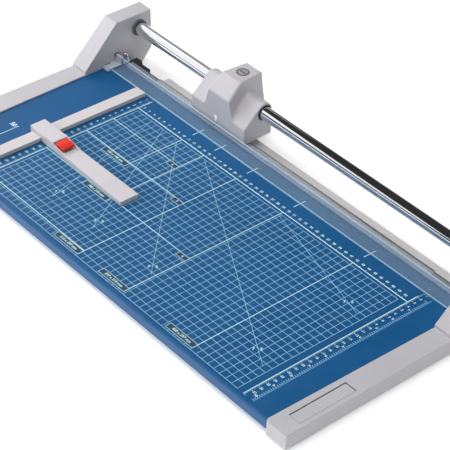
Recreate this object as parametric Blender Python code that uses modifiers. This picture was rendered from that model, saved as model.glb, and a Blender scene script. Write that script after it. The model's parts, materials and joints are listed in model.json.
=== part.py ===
"""Rotary paper trimmer: a blue steel table between two end frames, a chrome guide tube, a cutting head
that slides along the tube and rolls its circular blade past a fixed knife, a sprung clear clamp strip,
and a paper stop with a sliding back gauge.

+X runs along the cut, +Y towards the guide tube, +Z up. The origin is on the surface the trimmer
stands on, under the middle of its outline. Dimensions are in millimetres and meshes in metres.
"""

import math

import bmesh
import bpy
from mathutils import Matrix, Vector

MM = 0.001

# Whole machine
LENGTH = 706.0
END_WIDTH = 31.5
FRONT_Y = -182.5
FOOT_HEIGHT = 3.0
BOARD_TOP = 20.0
CAP_TOP = 22.0
CUT_Y = 137.5
UPRIGHT_TOP = 79.5
UPRIGHT_REAR_Y = CUT_Y + 39.0
OUTER_X = LENGTH / 2
INNER_X = OUTER_X - END_WIDTH
FACE_Y = CUT_Y - 199.0
FACE_FLARE = 0.02
FACE_DRAFT = 0.045
GAP = 0.3
WALL = 2.5

# Table
SHEET = 1.5
BOARD_FRONT_Y = FRONT_Y + WALL + GAP
BOARD_REAR_Y = CUT_Y - 9.1
BOARD_HALF = INNER_X + 8.0
BOARD_SKIRT_Z = 5.0
LIP_BOTTOM = BOARD_TOP + GAP

# Rail, knife and their ends
RAIL_BOTTOM = 4.0
RAIL_REAR_Y = CUT_Y + 18.5
LEDGE_TOP = 12.0
KNIFE_SEAT = 13.7
KNIFE_WIDTH = 8.5
KNIFE_BOTTOM = 14.0
STOP_X = -237.5
KNIFE_START = STOP_X - 20.0
KNIFE_END = STOP_X + 490.0
RAIL_END = OUTER_X - WALL - GAP
RAIL_PORT = (CUT_Y - 4.5, 8.6)

# Guide tube
TUBE_Y = CUT_Y + 18.0
TUBE_Z = BOARD_TOP + 39.5
TUBE_RADIUS = 9.0
TUBE_BORE = 7.5
TUBE_END = OUTER_X - 6.0
BUMPER_X = INNER_X + 4.9

# Clamp strip
STRIP_BOTTOM = BOARD_TOP + 1.2
STRIP_TOP = BOARD_TOP + 3.2
STRIP_FRONT_Y = CUT_Y - 39.5
STRIP_REAR_Y = CUT_Y - 6.0
STRIP_WALL_Y = CUT_Y - 22.0
STRIP_WALL_TOP = BOARD_TOP + 13.0
STRIP_SHEET = 2.0
STRIP_END = INNER_X + 7.5
CLIP_WIDTH = 11.5
CLIP_END = INNER_X + 2.6
CLIP_SHEET = 0.9
POST_X = INNER_X - 3.5
POST_TOP = 16.0
LEDGE_START = -262.0
POST_Y = CUT_Y - 12.0

# Cutting head
HEAD_X = STOP_X + 114.0
HEAD_HALF = 52.0
HEAD_FRONT_Y = CUT_Y - 15.0
HEAD_BOTTOM = BOARD_TOP + 4.2
HEAD_WALL = 2.0
SHOULDER_Z = BOARD_TOP + 25.5
WING_RADIUS = 13.0
WING_CORE = 8.5
HUMP_FRONT_TOP = BOARD_TOP + 52.0
HUMP_TOP = BOARD_TOP + 70.5
HUMP_REAR_Y = CUT_Y + 45.0
HUMP_TOP_HALF = 17.0
HUMP_FLARE = 12.5
HUMP_FLARE_POWER = 1.6
BADGE_Y = CUT_Y + 24.5
BADGE_RADIUS = 8.5

# Blade and press rollers
BLADE_RADIUS = 22.5
BLADE_Z = BOARD_TOP + 20.0
BLADE_Y = CUT_Y + GAP
BLADE_SHEET = 1.0
AXLE_RADIUS = 3.0
CARRIER_Y = CUT_Y + 4.4
CARRIER_SHEET = 3.0
ROLLER_RADIUS = 5.0
ROLLER_X = 33.0
ROLLER_Y = CUT_Y - 12.5
ROLLER_WIDTH = 5.0
ROLLER_Z = STRIP_TOP - 0.2 + 0.25 + ROLLER_RADIUS

# Paper stop and back gauge
BAR_WIDTH = 18.3
BAR_TOP = BOARD_TOP + 6.0
BAR_FRONT_Y = FRONT_Y + 8.0
BAR_REAR_Y = CUT_Y - 41.5
GAUGE_FRONT_Y = CUT_Y - 207.0
GAUGE_MIDDLE_Y = CUT_Y - 196.75
GAUGE_REAR_Y = CUT_Y - 184.5
GAUGE_LENGTH = 168.5
GAUGE_FLARE = 5.0
ARM_TOP = BOARD_TOP + 6.5
ARM_BOTTOM = BOARD_TOP + 0.5
BLOCK_TOP = BOARD_TOP + 12.0
LEVER_PIN = (STOP_X + 30.0, BOARD_TOP + 9.3)
POINTER_X = HEAD_X - 3.5

PALETTE = {
    "grey_plastic": ((0.58, 0.57, 0.60), 0.45, 0.0),
    "head_plastic": ((0.62, 0.61, 0.64), 0.42, 0.0),
    "blue_paint": ((0.02, 0.12, 0.33), 0.35, 0.0),
    "chrome": ((0.80, 0.81, 0.83), 0.08, 1.0),
    "bright_steel": ((0.62, 0.62, 0.64), 0.25, 1.0),
    "galvanised_steel": ((0.55, 0.56, 0.57), 0.45, 1.0),
    "aluminium": ((0.75, 0.74, 0.73), 0.35, 1.0),
    "black_plastic": ((0.03, 0.03, 0.035), 0.5, 0.0),
    "dark_rubber": ((0.05, 0.05, 0.055), 0.8, 0.0),
    "clear_plastic": ((0.75, 0.85, 0.90), 0.1, 0.0),
    "frosted_plastic": ((0.80, 0.84, 0.88), 0.35, 0.0),
    "bar_enamel": ((0.72, 0.69, 0.67), 0.4, 0.0),
    "gauge_plastic": ((0.72, 0.70, 0.69), 0.45, 0.0),
    "red_plastic": ((0.80, 0.04, 0.02), 0.3, 0.0),
    "white_plastic": ((0.90, 0.90, 0.90), 0.4, 0.0),
}


def clear_scene():
    """Remove every object the file starts with."""
    for obj in list(bpy.data.objects):
        bpy.data.objects.remove(obj, do_unlink=True)


def make_collection(name):
    """Add a collection to the scene."""
    collection = bpy.data.collections.new(name)
    bpy.context.scene.collection.children.link(collection)
    return collection


clear_scene()
PARTS = make_collection("rotary_paper_trimmer")
CUTTERS = make_collection("cutters")


def material(name):
    """Return the palette material, making it the first time."""
    found = bpy.data.materials.get(name)
    if found:
        return found
    colour, roughness, metallic = PALETTE[name]
    made = bpy.data.materials.new(name)
    made.use_nodes = True
    shader = made.node_tree.nodes["Principled BSDF"]
    shader.inputs["Base Color"].default_value = (*colour, 1.0)
    shader.inputs["Roughness"].default_value = roughness
    shader.inputs["Metallic"].default_value = metallic
    return made


def add_object(name, mesh, finish=None):
    """Link a mesh as a part with its finish, or as a hidden cutter when it has none."""
    obj = bpy.data.objects.new(name, mesh)
    if finish:
        PARTS.objects.link(obj)
        mesh.materials.append(material(finish))
        return obj
    CUTTERS.objects.link(obj)
    obj.hide_render = True
    obj.display_type = "WIRE"
    return obj


def box(name, low, high, finish=None):
    """Block between two corners, with its origin in its middle."""
    size = [(b - a) * MM for a, b in zip(low, high)]
    middle = [(a + b) / 2 * MM for a, b in zip(low, high)]
    mesh = bpy.data.meshes.new(name)
    work = bmesh.new()
    bmesh.ops.create_cube(work, size=1.0)
    bmesh.ops.scale(work, vec=size, verts=work.verts)
    work.to_mesh(mesh)
    work.free()
    obj = add_object(name, mesh, finish)
    obj.location = middle
    return obj


def along(axis):
    """Rotation that turns +Z to the named axis."""
    turns = {
        "X": Matrix.Rotation(math.pi / 2, 4, "Y"),
        "Y": Matrix.Rotation(-math.pi / 2, 4, "X"),
        "Z": Matrix.Identity(4),
    }
    return turns[axis]


def rod(name, axis, centre, radius, length, finish=None, sides=24):
    """Cylinder about the named axis, centred on a point."""
    mesh = bpy.data.meshes.new(name)
    work = bmesh.new()
    bmesh.ops.create_cone(work, cap_ends=True, segments=sides, radius1=radius * MM, radius2=radius * MM,
                          depth=length * MM)
    work.to_mesh(mesh)
    work.free()
    shade_round(mesh)
    obj = add_object(name, mesh, finish)
    obj.matrix_world = Matrix.Translation(Vector(centre) * MM) @ along(axis)
    return obj


def shade_round(mesh):
    """Shade smooth except across sharp edges."""
    mesh.shade_smooth()
    mesh.set_sharp_from_angle(angle=math.radians(35))


def turned(name, axis, origin, profile, finish=None, steps=32):
    """Turn (radius, height) points about the named axis; they run down the outer side, top to bottom.

    A profile that ends where it began makes a ring; any other starts and ends on the axis.
    """
    mesh = bpy.data.meshes.new(name)
    ring = profile[0] == profile[-1]
    corners = profile[:-1] if ring else profile
    count = len(corners)
    edges = [(i, (i + 1) % count) for i in range(count if ring else count - 1)]
    mesh.from_pydata([(r * MM, 0.0, h * MM) for r, h in corners], edges, [])
    obj = add_object(name, mesh, finish)
    obj.matrix_world = Matrix.Translation(Vector(origin) * MM) @ along(axis)
    screw = obj.modifiers.new("turn", "SCREW")
    screw.axis = "Z"
    screw.steps = steps
    screw.render_steps = steps
    screw.use_merge_vertices = True
    screw.merge_threshold = 0.00001
    screw.use_smooth_shade = True
    return obj


def rounded(corners, steps=4):
    """Replace each (a, b, radius) corner of a closed outline with an arc."""
    points = []
    count = len(corners)
    for i, corner in enumerate(corners):
        here = Vector(corner[:2])
        if len(corner) == 2:
            points.append(tuple(here))
            continue
        before = (Vector(corners[i - 1][:2]) - here).normalized()
        after = (Vector(corners[(i + 1) % count][:2]) - here).normalized()
        half = before.angle(after) / 2
        reach = corner[2] / math.tan(half)
        centre = here + (before + after).normalized() * corner[2] / math.sin(half)
        start = here + before * reach - centre
        turn = start.angle_signed(here + after * reach - centre)
        for step in range(steps + 1):
            arm = start.copy()
            arm.rotate(Matrix.Rotation(-turn * step / steps, 2))
            points.append(tuple(centre + arm))
    return points


def offset(points, distance, closed=True):
    """Move an outline to its left by a distance, edge by edge."""
    moved = []
    count = len(points)
    for i in range(count):
        here = Vector(points[i])
        sides = []
        if closed or i > 0:
            sides.append((here - Vector(points[i - 1])).normalized())
        if closed or i < count - 1:
            sides.append((Vector(points[(i + 1) % count]) - here).normalized())
        normals = [Vector((-side.y, side.x)) for side in sides]
        total = sum(normals[1:], normals[0])
        scale = 1.0 if len(normals) == 1 else 1.0 / (1.0 + normals[0].dot(normals[1]))
        moved.append(tuple(here + total * distance * scale))
    return moved


def folded_sheet(path, thickness):
    """Closed outline of a sheet whose left side follows an open path."""
    return list(path) + list(reversed(offset(path, -thickness, closed=False)))


PLANES = {
    "YZ": Matrix(((0, 0, 1, 0), (1, 0, 0, 0), (0, 1, 0, 0), (0, 0, 0, 1))),
    "XZ": Matrix(((1, 0, 0, 0), (0, 0, -1, 0), (0, 1, 0, 0), (0, 0, 0, 1))),
    "XY": Matrix.Identity(4),
}


def outline_mesh(name, points, start, end, plane):
    """Mesh of a flat outline in the named plane, extruded between two places across it."""
    curve = bpy.data.curves.new(name, "CURVE")
    curve.dimensions = "2D"
    curve.fill_mode = "BOTH"
    curve.extrude = (end - start) / 2 * MM
    spline = curve.splines.new("POLY")
    spline.points.add(len(points) - 1)
    for point, (a, b) in zip(spline.points, points):
        point.co = (a * MM, b * MM, 0.0, 1.0)
    spline.use_cyclic_u = True
    guide = bpy.data.objects.new(name, curve)
    CUTTERS.objects.link(guide)
    bpy.context.view_layer.update()
    depsgraph = bpy.context.evaluated_depsgraph_get()
    mesh = bpy.data.meshes.new_from_object(guide.evaluated_get(depsgraph))
    bpy.data.objects.remove(guide, do_unlink=True)
    work = bmesh.new()
    work.from_mesh(mesh)
    bmesh.ops.remove_doubles(work, verts=work.verts, dist=0.000001)
    bmesh.ops.dissolve_limit(work, angle_limit=math.radians(0.5), verts=work.verts, edges=work.edges)
    bmesh.ops.recalc_face_normals(work, faces=work.faces)
    across = (start + end) / 2 * MM
    if plane == "XZ":
        across = -across
    bmesh.ops.transform(work, matrix=PLANES[plane] @ Matrix.Translation((0, 0, across)), verts=work.verts)
    work.to_mesh(mesh)
    work.free()
    mesh.name = name
    return mesh


def extruded(name, points, start, end, plane, finish=None):
    """Solid of a flat outline; plane YZ runs it along X, XZ along Y, XY along Z."""
    return add_object(name, outline_mesh(name, points, start, end, plane), finish)


def bevel(obj, width, segments=2, angle=30):
    """Round the edges that are sharper than an angle."""
    modifier = obj.modifiers.new("bevel", "BEVEL")
    modifier.width = width * MM
    modifier.segments = segments
    modifier.limit_method = "ANGLE"
    modifier.angle_limit = math.radians(angle)
    modifier.harden_normals = False
    return obj


def boolean(obj, tool, operation):
    """Add a Boolean with a tool that is kept among the cutters."""
    modifier = obj.modifiers.new(operation.lower(), "BOOLEAN")
    modifier.operation = operation
    modifier.solver = "EXACT"
    modifier.object = tool
    return obj


def cut(obj, *tools):
    """Cut each tool out of the part."""
    for tool in tools:
        boolean(obj, tool, "DIFFERENCE")
    return obj


def join(obj, *tools):
    """Add each tool to the part."""
    for tool in tools:
        boolean(obj, tool, "UNION")
    return obj


def screw(name, axis, seat, head_radius, head_height, radius, length, finish="galvanised_steel"):
    """Pan-head screw: seat is under its head, and the named axis with a sign points out of the head."""
    sign = -1.0 if axis.startswith("-") else 1.0
    profile = [
        (0.0, head_height),
        (head_radius * 0.75, head_height),
        (head_radius, head_height * 0.6),
        (head_radius, 0.0),
        (radius, 0.0),
        (radius, -length),
        (0.0, -length),
    ]
    obj = turned(name, axis[-1], seat, profile, finish, steps=16)
    if sign < 0:
        obj.matrix_world = obj.matrix_world @ Matrix.Rotation(math.pi, 4, "X")
    return obj


# ---------------------------------------------------------------- end frames

FRAME_OUTLINE = [
    (FRONT_Y, 0.0),
    (CUT_Y + 17.5, 0.0),
    (UPRIGHT_REAR_Y, BOARD_TOP + 2.0),
    (UPRIGHT_REAR_Y, UPRIGHT_TOP),
    (CUT_Y - 19.4, UPRIGHT_TOP),
    (CUT_Y - 74.0, BOARD_TOP + 6.0),
    (CUT_Y - 74.0, CAP_TOP),
    (FRONT_Y, CAP_TOP),
]
FOOT_SPOTS = [(OUTER_X - 9.6, FRONT_Y + 22.0), (OUTER_X - 9.6, CUT_Y - 27.0)]
FOOT_RADIUS = 7.5
PANEL_LOW = (INNER_X + 8.5, CUT_Y - 295.5)
PANEL_HIGH = (INNER_X + 25.0, CUT_Y - 214.0)
PANEL_DEPTH = 1.2


def side_span(side, near, far):
    """Two places across X on one side, in rising order."""
    return tuple(sorted((side * near, side * far)))


def lean(moulding, side):
    """Slant the face that looks along the table: it opens out a little towards the rear and the top."""
    for vertex in moulding.data.vertices:
        x, y, z = vertex.co / MM
        if abs(x) < OUTER_X - END_WIDTH / 2:
            vertex.co.x += side * (FACE_FLARE * (y - FACE_Y) + FACE_DRAFT * (z - CAP_TOP)) * MM
    return moulding


def frame_cavity(name, side):
    """Inside of the moulding, open underneath."""
    inner = offset(FRAME_OUTLINE, WALL)
    opened = [(y, z if z > WALL + 0.1 else -2.0) for y, z in inner]
    start, end = side_span(side, INNER_X + WALL, OUTER_X - WALL)
    return lean(extruded(name, opened, start, end, "YZ"), side)


def board_mouth(name, side):
    """Where the table and the rail enter the moulding."""
    start, end = side_span(side, INNER_X - 6.0, INNER_X + 8.7)
    rear = CUT_Y + (0.8 if side < 0 else 19.2)
    return box(name, (start, FRONT_Y + WALL + 0.1, -2.0), (end, rear, LIP_BOTTOM))


def strip_slot(name, side):
    """L-shaped slot that the clamp strip's end rises and falls in."""
    start, end = side_span(side, INNER_X - 1.0, INNER_X + WALL + 6.5)
    reach = GAP + CLIP_SHEET + 1.2
    flat = box(name + "_flat", (start, STRIP_FRONT_Y - 1.5, BOARD_TOP - 1.0),
               (end, STRIP_WALL_Y + 3.6, STRIP_TOP + reach))
    upright = box(name + "_upright", (start, STRIP_WALL_Y - reach, BOARD_TOP - 1.0),
                  (end, STRIP_WALL_Y + STRIP_SHEET + reach, STRIP_WALL_TOP + reach))
    return flat, upright


def tube_seat(name, side):
    """Boss inside the outer wall that the tube's end butts against."""
    start, end = side_span(side, TUBE_END + GAP, OUTER_X - 1.0)
    return rod(name, "X", ((start + end) / 2, TUBE_Y, TUBE_Z), 11.0, end - start)


def screw_hole(name, side, y, z, radius, head_radius, depth):
    """Through hole and counterbore for a screw that enters from outside."""
    hole = rod(name + "_hole", "X", (side * OUTER_X, y, z), radius, 20.0, sides=16)
    sink = rod(name + "_sink", "X", (side * (OUTER_X + 5.0 - depth), y, z), head_radius, 10.0, sides=24)
    return hole, sink


def foot_boss(name, side, x, y):
    """Post under the cap's top that a rubber foot pushes into."""
    low = FOOT_HEIGHT + GAP
    high = CAP_TOP - 1.0
    post = rod(name, "Z", (side * x, y, (low + high) / 2), FOOT_RADIUS, high - low)
    hole = rod(name + "_hole", "Z", (side * x, y, low), 2.8, 10.0, sides=16)
    return post, hole


def end_frame(name, side):
    """Moulded end cap with the upright that carries the guide tube."""
    start, end = side_span(side, INNER_X, OUTER_X)
    frame = lean(extruded(name, FRAME_OUTLINE, start, end, "YZ", "grey_plastic"), side)
    bevel(frame, 1.6, segments=3, angle=25)
    under = box(name + "_trim", (start - 5.0, FRONT_Y - 5.0, -5.0),
                (end + 5.0, UPRIGHT_REAR_Y + 5.0, FOOT_HEIGHT))
    cut(frame, under, frame_cavity(name + "_cavity", side))
    start, end = side_span(side, INNER_X - 2.0, INNER_X + WALL + 10.0)
    cut(frame, rod(name + "_tube_hole", "X", ((start + end) / 2, TUBE_Y, TUBE_Z), 11.0, end - start,
                   sides=40))
    cut(frame, *strip_slot(name + "_strip_slot", side))
    cut(frame, board_mouth(name + "_mouth", side))
    join(frame, tube_seat(name + "_tube_seat", side))
    posts = [foot_boss(f"{name}_foot_post_{i}", side, x, y) for i, (x, y) in enumerate(FOOT_SPOTS, 1)]
    join(frame, *(post for post, hole in posts))
    cut(frame, *(hole for post, hole in posts))
    cut(frame, *screw_hole(name + "_tube_screw", side, TUBE_Y, TUBE_Z, 2.8, 5.4, 2.4))
    cut(frame, *screw_hole(name + "_rail_screw", side, *RAIL_PORT, 1.9, 3.6, 1.4))
    return frame


def end_frames():
    """Both end frames, and the blank label plate let into the right one."""
    end_frame("left_end_frame", -1)
    right = end_frame("right_end_frame", 1)
    low = (*PANEL_LOW, CAP_TOP - PANEL_DEPTH)
    high = (*PANEL_HIGH, CAP_TOP + 2.0)
    cut(right, box("label_recess", low, high))
    plate = box("label_plate", (low[0] + GAP, low[1] + GAP, low[2] + GAP / 2),
                (high[0] - GAP, high[1] - 1.2, CAP_TOP - 0.1), "grey_plastic")
    bevel(plate, 0.25, segments=1)


def rubber_feet():
    """Four push-in feet."""
    profile = [(0.0, 7.0), (2.0, 7.0), (2.5, 6.0), (2.5, FOOT_HEIGHT), (FOOT_RADIUS, FOOT_HEIGHT),
               (FOOT_RADIUS, 1.0), (FOOT_RADIUS - 1.0, 0.0), (0.0, 0.0)]
    for side, side_name in ((-1, "left"), (1, "right")):
        for (x, y), end_name in zip(FOOT_SPOTS, ("front", "rear")):
            turned(f"foot_{side_name}_{end_name}", "Z", (side * x, y, 0.0), profile, "dark_rubber", steps=24)


# ---------------------------------------------------------------- table, rail and knife

BAR_SCREW_YS = (FRONT_Y + 30.0, CUT_Y - 70.0)
KNIFE_SCREW_XS = (-200.0, 0.0, 200.0)
STIFFENER_Y = -30.0


def table_board():
    """Steel sheet with a rounded front skirt, a front hem and a rear skirt."""
    corners = [
        (BOARD_REAR_Y, BOARD_SKIRT_Z),
        (BOARD_REAR_Y, BOARD_TOP, 2.0),
        (BOARD_FRONT_Y, BOARD_TOP, 3.0),
        (BOARD_FRONT_Y, BOARD_SKIRT_Z, 1.8),
        (BOARD_FRONT_Y + 9.0, BOARD_SKIRT_Z),
    ]
    skin = rounded(corners, steps=5)
    outer = offset(skin, SHEET, closed=False)
    board = extruded("table_board", skin + list(reversed(outer)), -BOARD_HALF, BOARD_HALF, "YZ", "blue_paint")
    for i, y in enumerate(BAR_SCREW_YS, 1):
        cut(board, rod(f"bar_screw_hole_{i}", "Z", (STOP_X - BAR_WIDTH / 2, y, BOARD_TOP), 1.9, 8.0,
                       sides=16))
    for side in (-1, 1):
        cut(board, rod(f"post_hole_{side}", "Z", (side * POST_X, POST_Y, BOARD_TOP), 1.9, 8.0, sides=16))


def table_stiffener():
    """Channel under the table that keeps the sheet flat."""
    top = BOARD_TOP - SHEET - GAP
    path = [(STIFFENER_Y - 20.0, 6.0), (STIFFENER_Y - 20.0, top), (STIFFENER_Y + 20.0, top),
            (STIFFENER_Y + 20.0, 6.0)]
    extruded("table_stiffener", folded_sheet(path, 1.2), -INNER_X + 4.0, INNER_X - 4.0, "YZ",
             "galvanised_steel")


def knife_rail():
    """Aluminium extrusion that carries the knife; the ledge behind it starts clear of the left end."""
    knife_front = CUT_Y - KNIFE_WIDTH
    outline = [
        (knife_front, RAIL_BOTTOM),
        (CUT_Y + 0.5, RAIL_BOTTOM),
        (CUT_Y + 0.5, LEDGE_TOP - 2.5),
        (RAIL_REAR_Y - 2.5, LEDGE_TOP - 2.5),
        (RAIL_REAR_Y - 2.5, RAIL_BOTTOM),
        (RAIL_REAR_Y, RAIL_BOTTOM),
        (RAIL_REAR_Y, LEDGE_TOP, 0.8),
        (CUT_Y, LEDGE_TOP),
        (CUT_Y, KNIFE_SEAT),
        (knife_front, KNIFE_SEAT),
    ]
    rail = extruded("knife_rail", rounded(outline, steps=2), -RAIL_END, RAIL_END, "YZ", "aluminium")
    for side in (-1, 1):
        cut(rail, rod(f"rail_port_{side}", "X", (side * RAIL_END, *RAIL_PORT), 1.7, 32.0, sides=16))
    cut(rail, box("ledge_notch", (-RAIL_END - 1.0, CUT_Y - 0.3, -1.0),
                  (LEDGE_START, RAIL_REAR_Y + 1.0, 60.0)))
    for i, x in enumerate(KNIFE_SCREW_XS, 1):
        y = CUT_Y - KNIFE_WIDTH / 2
        cut(rail, rod(f"knife_screw_hole_{i}", "Z", (x, y, 9.0), 2.0, 14.0, sides=16))
        cut(rail, rod(f"knife_screw_sink_{i}", "Z", (x, y, RAIL_BOTTOM), 3.7, 7.0, sides=20))


def lower_knife():
    """Fixed ground knife whose rear top edge is the cutting line."""
    knife_front = CUT_Y - KNIFE_WIDTH
    outline = [
        (knife_front, KNIFE_BOTTOM),
        (CUT_Y, KNIFE_BOTTOM),
        (CUT_Y, BOARD_TOP),
        (CUT_Y - 2.6, BOARD_TOP),
        (CUT_Y - 3.1, BOARD_TOP - 0.5),
        (CUT_Y - 5.4, BOARD_TOP - 0.5),
        (CUT_Y - 5.9, BOARD_TOP),
        (knife_front, BOARD_TOP),
    ]
    knife = extruded("lower_knife", outline, KNIFE_START, KNIFE_END, "YZ", "bright_steel")
    y = CUT_Y - KNIFE_WIDTH / 2
    for i, x in enumerate(KNIFE_SCREW_XS, 1):
        cut(knife, rod(f"knife_thread_{i}", "Z", (x, y, KNIFE_BOTTOM), 1.9, 9.0, sides=16))
        screw(f"knife_screw_{i}", "-Z", (x, y, RAIL_BOTTOM + 3.5 - GAP), 3.3, 2.6, 1.6, 11.0)


def knife_end_blocks():
    """Black filler blocks that close the rail beyond the knife; the left one widens behind the strip."""
    outer = INNER_X + 3.3
    front = CUT_Y - KNIFE_WIDTH
    wing = 0.8 - INNER_X
    left = [
        (-outer, front),
        (KNIFE_START - GAP, front),
        (KNIFE_START - GAP, CUT_Y),
        (wing + 35.0, CUT_Y),
        (wing + 35.0, CUT_Y + 5.0),
        (wing + 18.0, CUT_Y + 5.0),
        (wing + 11.0, CUT_Y + 9.5),
        (wing, CUT_Y + 9.5),
        (wing, CUT_Y),
        (-outer, CUT_Y),
    ]
    right = [(KNIFE_END + GAP, front), (outer, front), (outer, CUT_Y), (KNIFE_END + GAP, CUT_Y)]
    for name, outline in (("left", left), ("right", right)):
        top = BOARD_TOP - 1.2
        block = extruded(f"knife_end_block_{name}", outline, KNIFE_BOTTOM, top, "XY", "black_plastic")
        bevel(block, 0.5, segments=1)


# ---------------------------------------------------------------- guide tube

def guide_tube():
    """Chromed steel tube, clamped between the two end frames."""
    ring = [(TUBE_RADIUS, TUBE_END), (TUBE_RADIUS, -TUBE_END), (TUBE_BORE, -TUBE_END), (TUBE_BORE, TUBE_END),
            (TUBE_RADIUS, TUBE_END)]
    turned("guide_tube", "X", (0.0, TUBE_Y, TUBE_Z), ring, "chrome", steps=48)


def tube_fittings():
    """Rubber bumper, threaded plug and screw at each end of the tube, and the rail's end screw."""
    for side, name in ((-1, "left"), (1, "right")):
        bumper = [(11.4, 1.8), (11.4, 0.0), (10.7, 0.0), (10.7, -4.5), (9.15, -4.5), (9.15, 1.8), (11.4, 1.8)]
        ring = turned(f"tube_bumper_{name}", "X", (side * BUMPER_X, TUBE_Y, TUBE_Z), bumper, "dark_rubber",
                      steps=40)
        plug = [(7.3, 19.5), (7.3, 0.0), (2.6, 0.0), (2.6, 19.5), (7.3, 19.5)]
        start = TUBE_END - 0.5
        core = turned(f"tube_plug_{name}", "X", (side * start, TUBE_Y, TUBE_Z), plug, "galvanised_steel",
                      steps=24)
        for obj in (ring, core):
            if side > 0:
                obj.matrix_world = obj.matrix_world @ Matrix.Rotation(math.pi, 4, "X")
        axis = "X" if side > 0 else "-X"
        screw(f"tube_screw_{name}", axis, (side * (OUTER_X - 2.1), TUBE_Y, TUBE_Z), 5.0, 1.9, 2.3, 18.0)
        screw(f"rail_screw_{name}", axis, (side * (OUTER_X - 1.1), *RAIL_PORT), 3.2, 0.9, 1.4, 15.0)


# ---------------------------------------------------------------- clamp strip

def clamp_strip():
    """Clear extrusion: a flat flange that holds the sheet, with an upright finger guard."""
    wall_rear = STRIP_WALL_Y + STRIP_SHEET
    rear_top = STRIP_TOP - 0.2
    outline = [
        (STRIP_FRONT_Y, STRIP_BOTTOM),
        (STRIP_REAR_Y, STRIP_BOTTOM),
        (STRIP_REAR_Y, rear_top),
        (wall_rear, rear_top),
        (wall_rear, STRIP_WALL_TOP, 0.6),
        (STRIP_WALL_Y, STRIP_WALL_TOP, 0.6),
        (STRIP_WALL_Y, STRIP_TOP, 1.2),
        (STRIP_FRONT_Y + 0.9, STRIP_TOP),
        (STRIP_FRONT_Y, STRIP_TOP - 0.9),
    ]
    strip = extruded("clamp_strip", rounded(outline, steps=2), -STRIP_END, STRIP_END, "YZ", "clear_plastic")
    for side in (-1, 1):
        start, end = side_span(side, CLIP_END - CLIP_WIDTH - 3.0, STRIP_END + 5.0)
        notch = box(f"strip_notch_{side}", (start, wall_rear + 0.01, STRIP_BOTTOM - 3.0),
                    (end, STRIP_REAR_Y + 5.0, STRIP_TOP + 3.0))
        cut(strip, notch)


def strip_clips():
    """Frosted end clips that ride up and down the two guide posts with the strip."""
    ear_low = STRIP_BOTTOM + 2.2
    ear_top = STRIP_TOP + 2.2
    reach = GAP + CLIP_SHEET
    top = STRIP_TOP + reach
    wall_rear = STRIP_WALL_Y + STRIP_SHEET
    outline = [
        (STRIP_FRONT_Y - 6.5, STRIP_BOTTOM),
        (STRIP_FRONT_Y - GAP, STRIP_BOTTOM),
        (STRIP_FRONT_Y - GAP, STRIP_TOP + GAP),
        (STRIP_WALL_Y - GAP, STRIP_TOP + GAP),
        (STRIP_WALL_Y - GAP, STRIP_WALL_TOP + GAP),
        (wall_rear + GAP, STRIP_WALL_TOP + GAP),
        (wall_rear + GAP, ear_low),
        (POST_Y + 5.0, ear_low),
        (POST_Y + 5.0, ear_top),
        (wall_rear + reach, ear_top),
        (wall_rear + reach, STRIP_WALL_TOP + reach),
        (STRIP_WALL_Y - reach, STRIP_WALL_TOP + reach),
        (STRIP_WALL_Y - reach, top),
        (STRIP_FRONT_Y - 6.5, top),
    ]
    for side, name in ((-1, "left"), (1, "right")):
        start, end = side_span(side, CLIP_END - CLIP_WIDTH, CLIP_END)
        clip = extruded(f"strip_clip_{name}", outline, start, end, "YZ", "frosted_plastic")
        bevel(clip, 0.25, segments=1)
        cut(clip, rod(f"clip_hole_{name}", "Z", (side * POST_X, POST_Y, STRIP_TOP), 2.5, 12.0, sides=24))


def strip_posts():
    """Guide posts riveted through the table, each with the coil spring that lifts the strip."""
    post = [
        (0.0, POST_TOP),
        (2.6, POST_TOP),
        (3.3, POST_TOP - 0.7),
        (3.3, 9.0),
        (2.1, 9.0),
        (2.1, 1.0),
        (3.9, 1.0),
        (3.9, GAP),
        (1.6, GAP),
        (1.6, -3.6),
        (0.0, -3.6),
    ]
    spring_low = BOARD_TOP + 1.35
    turns = 2
    rise = 0.75
    for side, name in ((-1, "left"), (1, "right")):
        turned(f"strip_post_{name}", "Z", (side * POST_X, POST_Y, BOARD_TOP), post, "bright_steel", steps=24)
        coil = bpy.data.curves.new(f"strip_spring_{name}", "CURVE")
        coil.dimensions = "3D"
        coil.bevel_depth = 0.25 * MM
        coil.bevel_resolution = 1
        coil.use_fill_caps = True
        spline = coil.splines.new("POLY")
        steps = 14 * turns
        spline.points.add(steps)
        for step in range(steps + 1):
            angle = 2 * math.pi * step / 14
            spot = Vector((math.cos(angle) * 3.1, math.sin(angle) * 3.1, step / 14 * rise)) * MM
            spline.points[step].co = (*spot, 1.0)
        obj = bpy.data.objects.new(f"strip_spring_{name}", coil)
        PARTS.objects.link(obj)
        coil.materials.append(material("bright_steel"))
        obj.location = Vector((side * POST_X, POST_Y, spring_low)) * MM


# ---------------------------------------------------------------- cutting head

def wing_outline(inset):
    """Section of the head's long body: upright front, sloping shoulder, round back over the tube."""
    radius = WING_RADIUS - inset
    front = HEAD_FRONT_Y + inset
    reach = Vector((TUBE_Y - HEAD_FRONT_Y, TUBE_Z - SHOULDER_Z))
    slope = math.atan2(reach.y, reach.x) + math.asin(WING_RADIUS / reach.length)
    shoulder = SHOULDER_Z + inset * (math.tan(slope) - 1.0 / math.cos(slope))
    top = slope + math.pi / 2
    steps = 8
    arc = []
    for step in range(steps + 1):
        angle = top * step / steps
        arc.append((TUBE_Y + radius * math.cos(angle), TUBE_Z + radius * math.sin(angle)))
    floor = HEAD_BOTTOM if inset == 0 else HEAD_BOTTOM - 5.0
    return [(front, floor), (TUBE_Y + radius, floor)] + arc + [(front, shoulder)]


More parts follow.
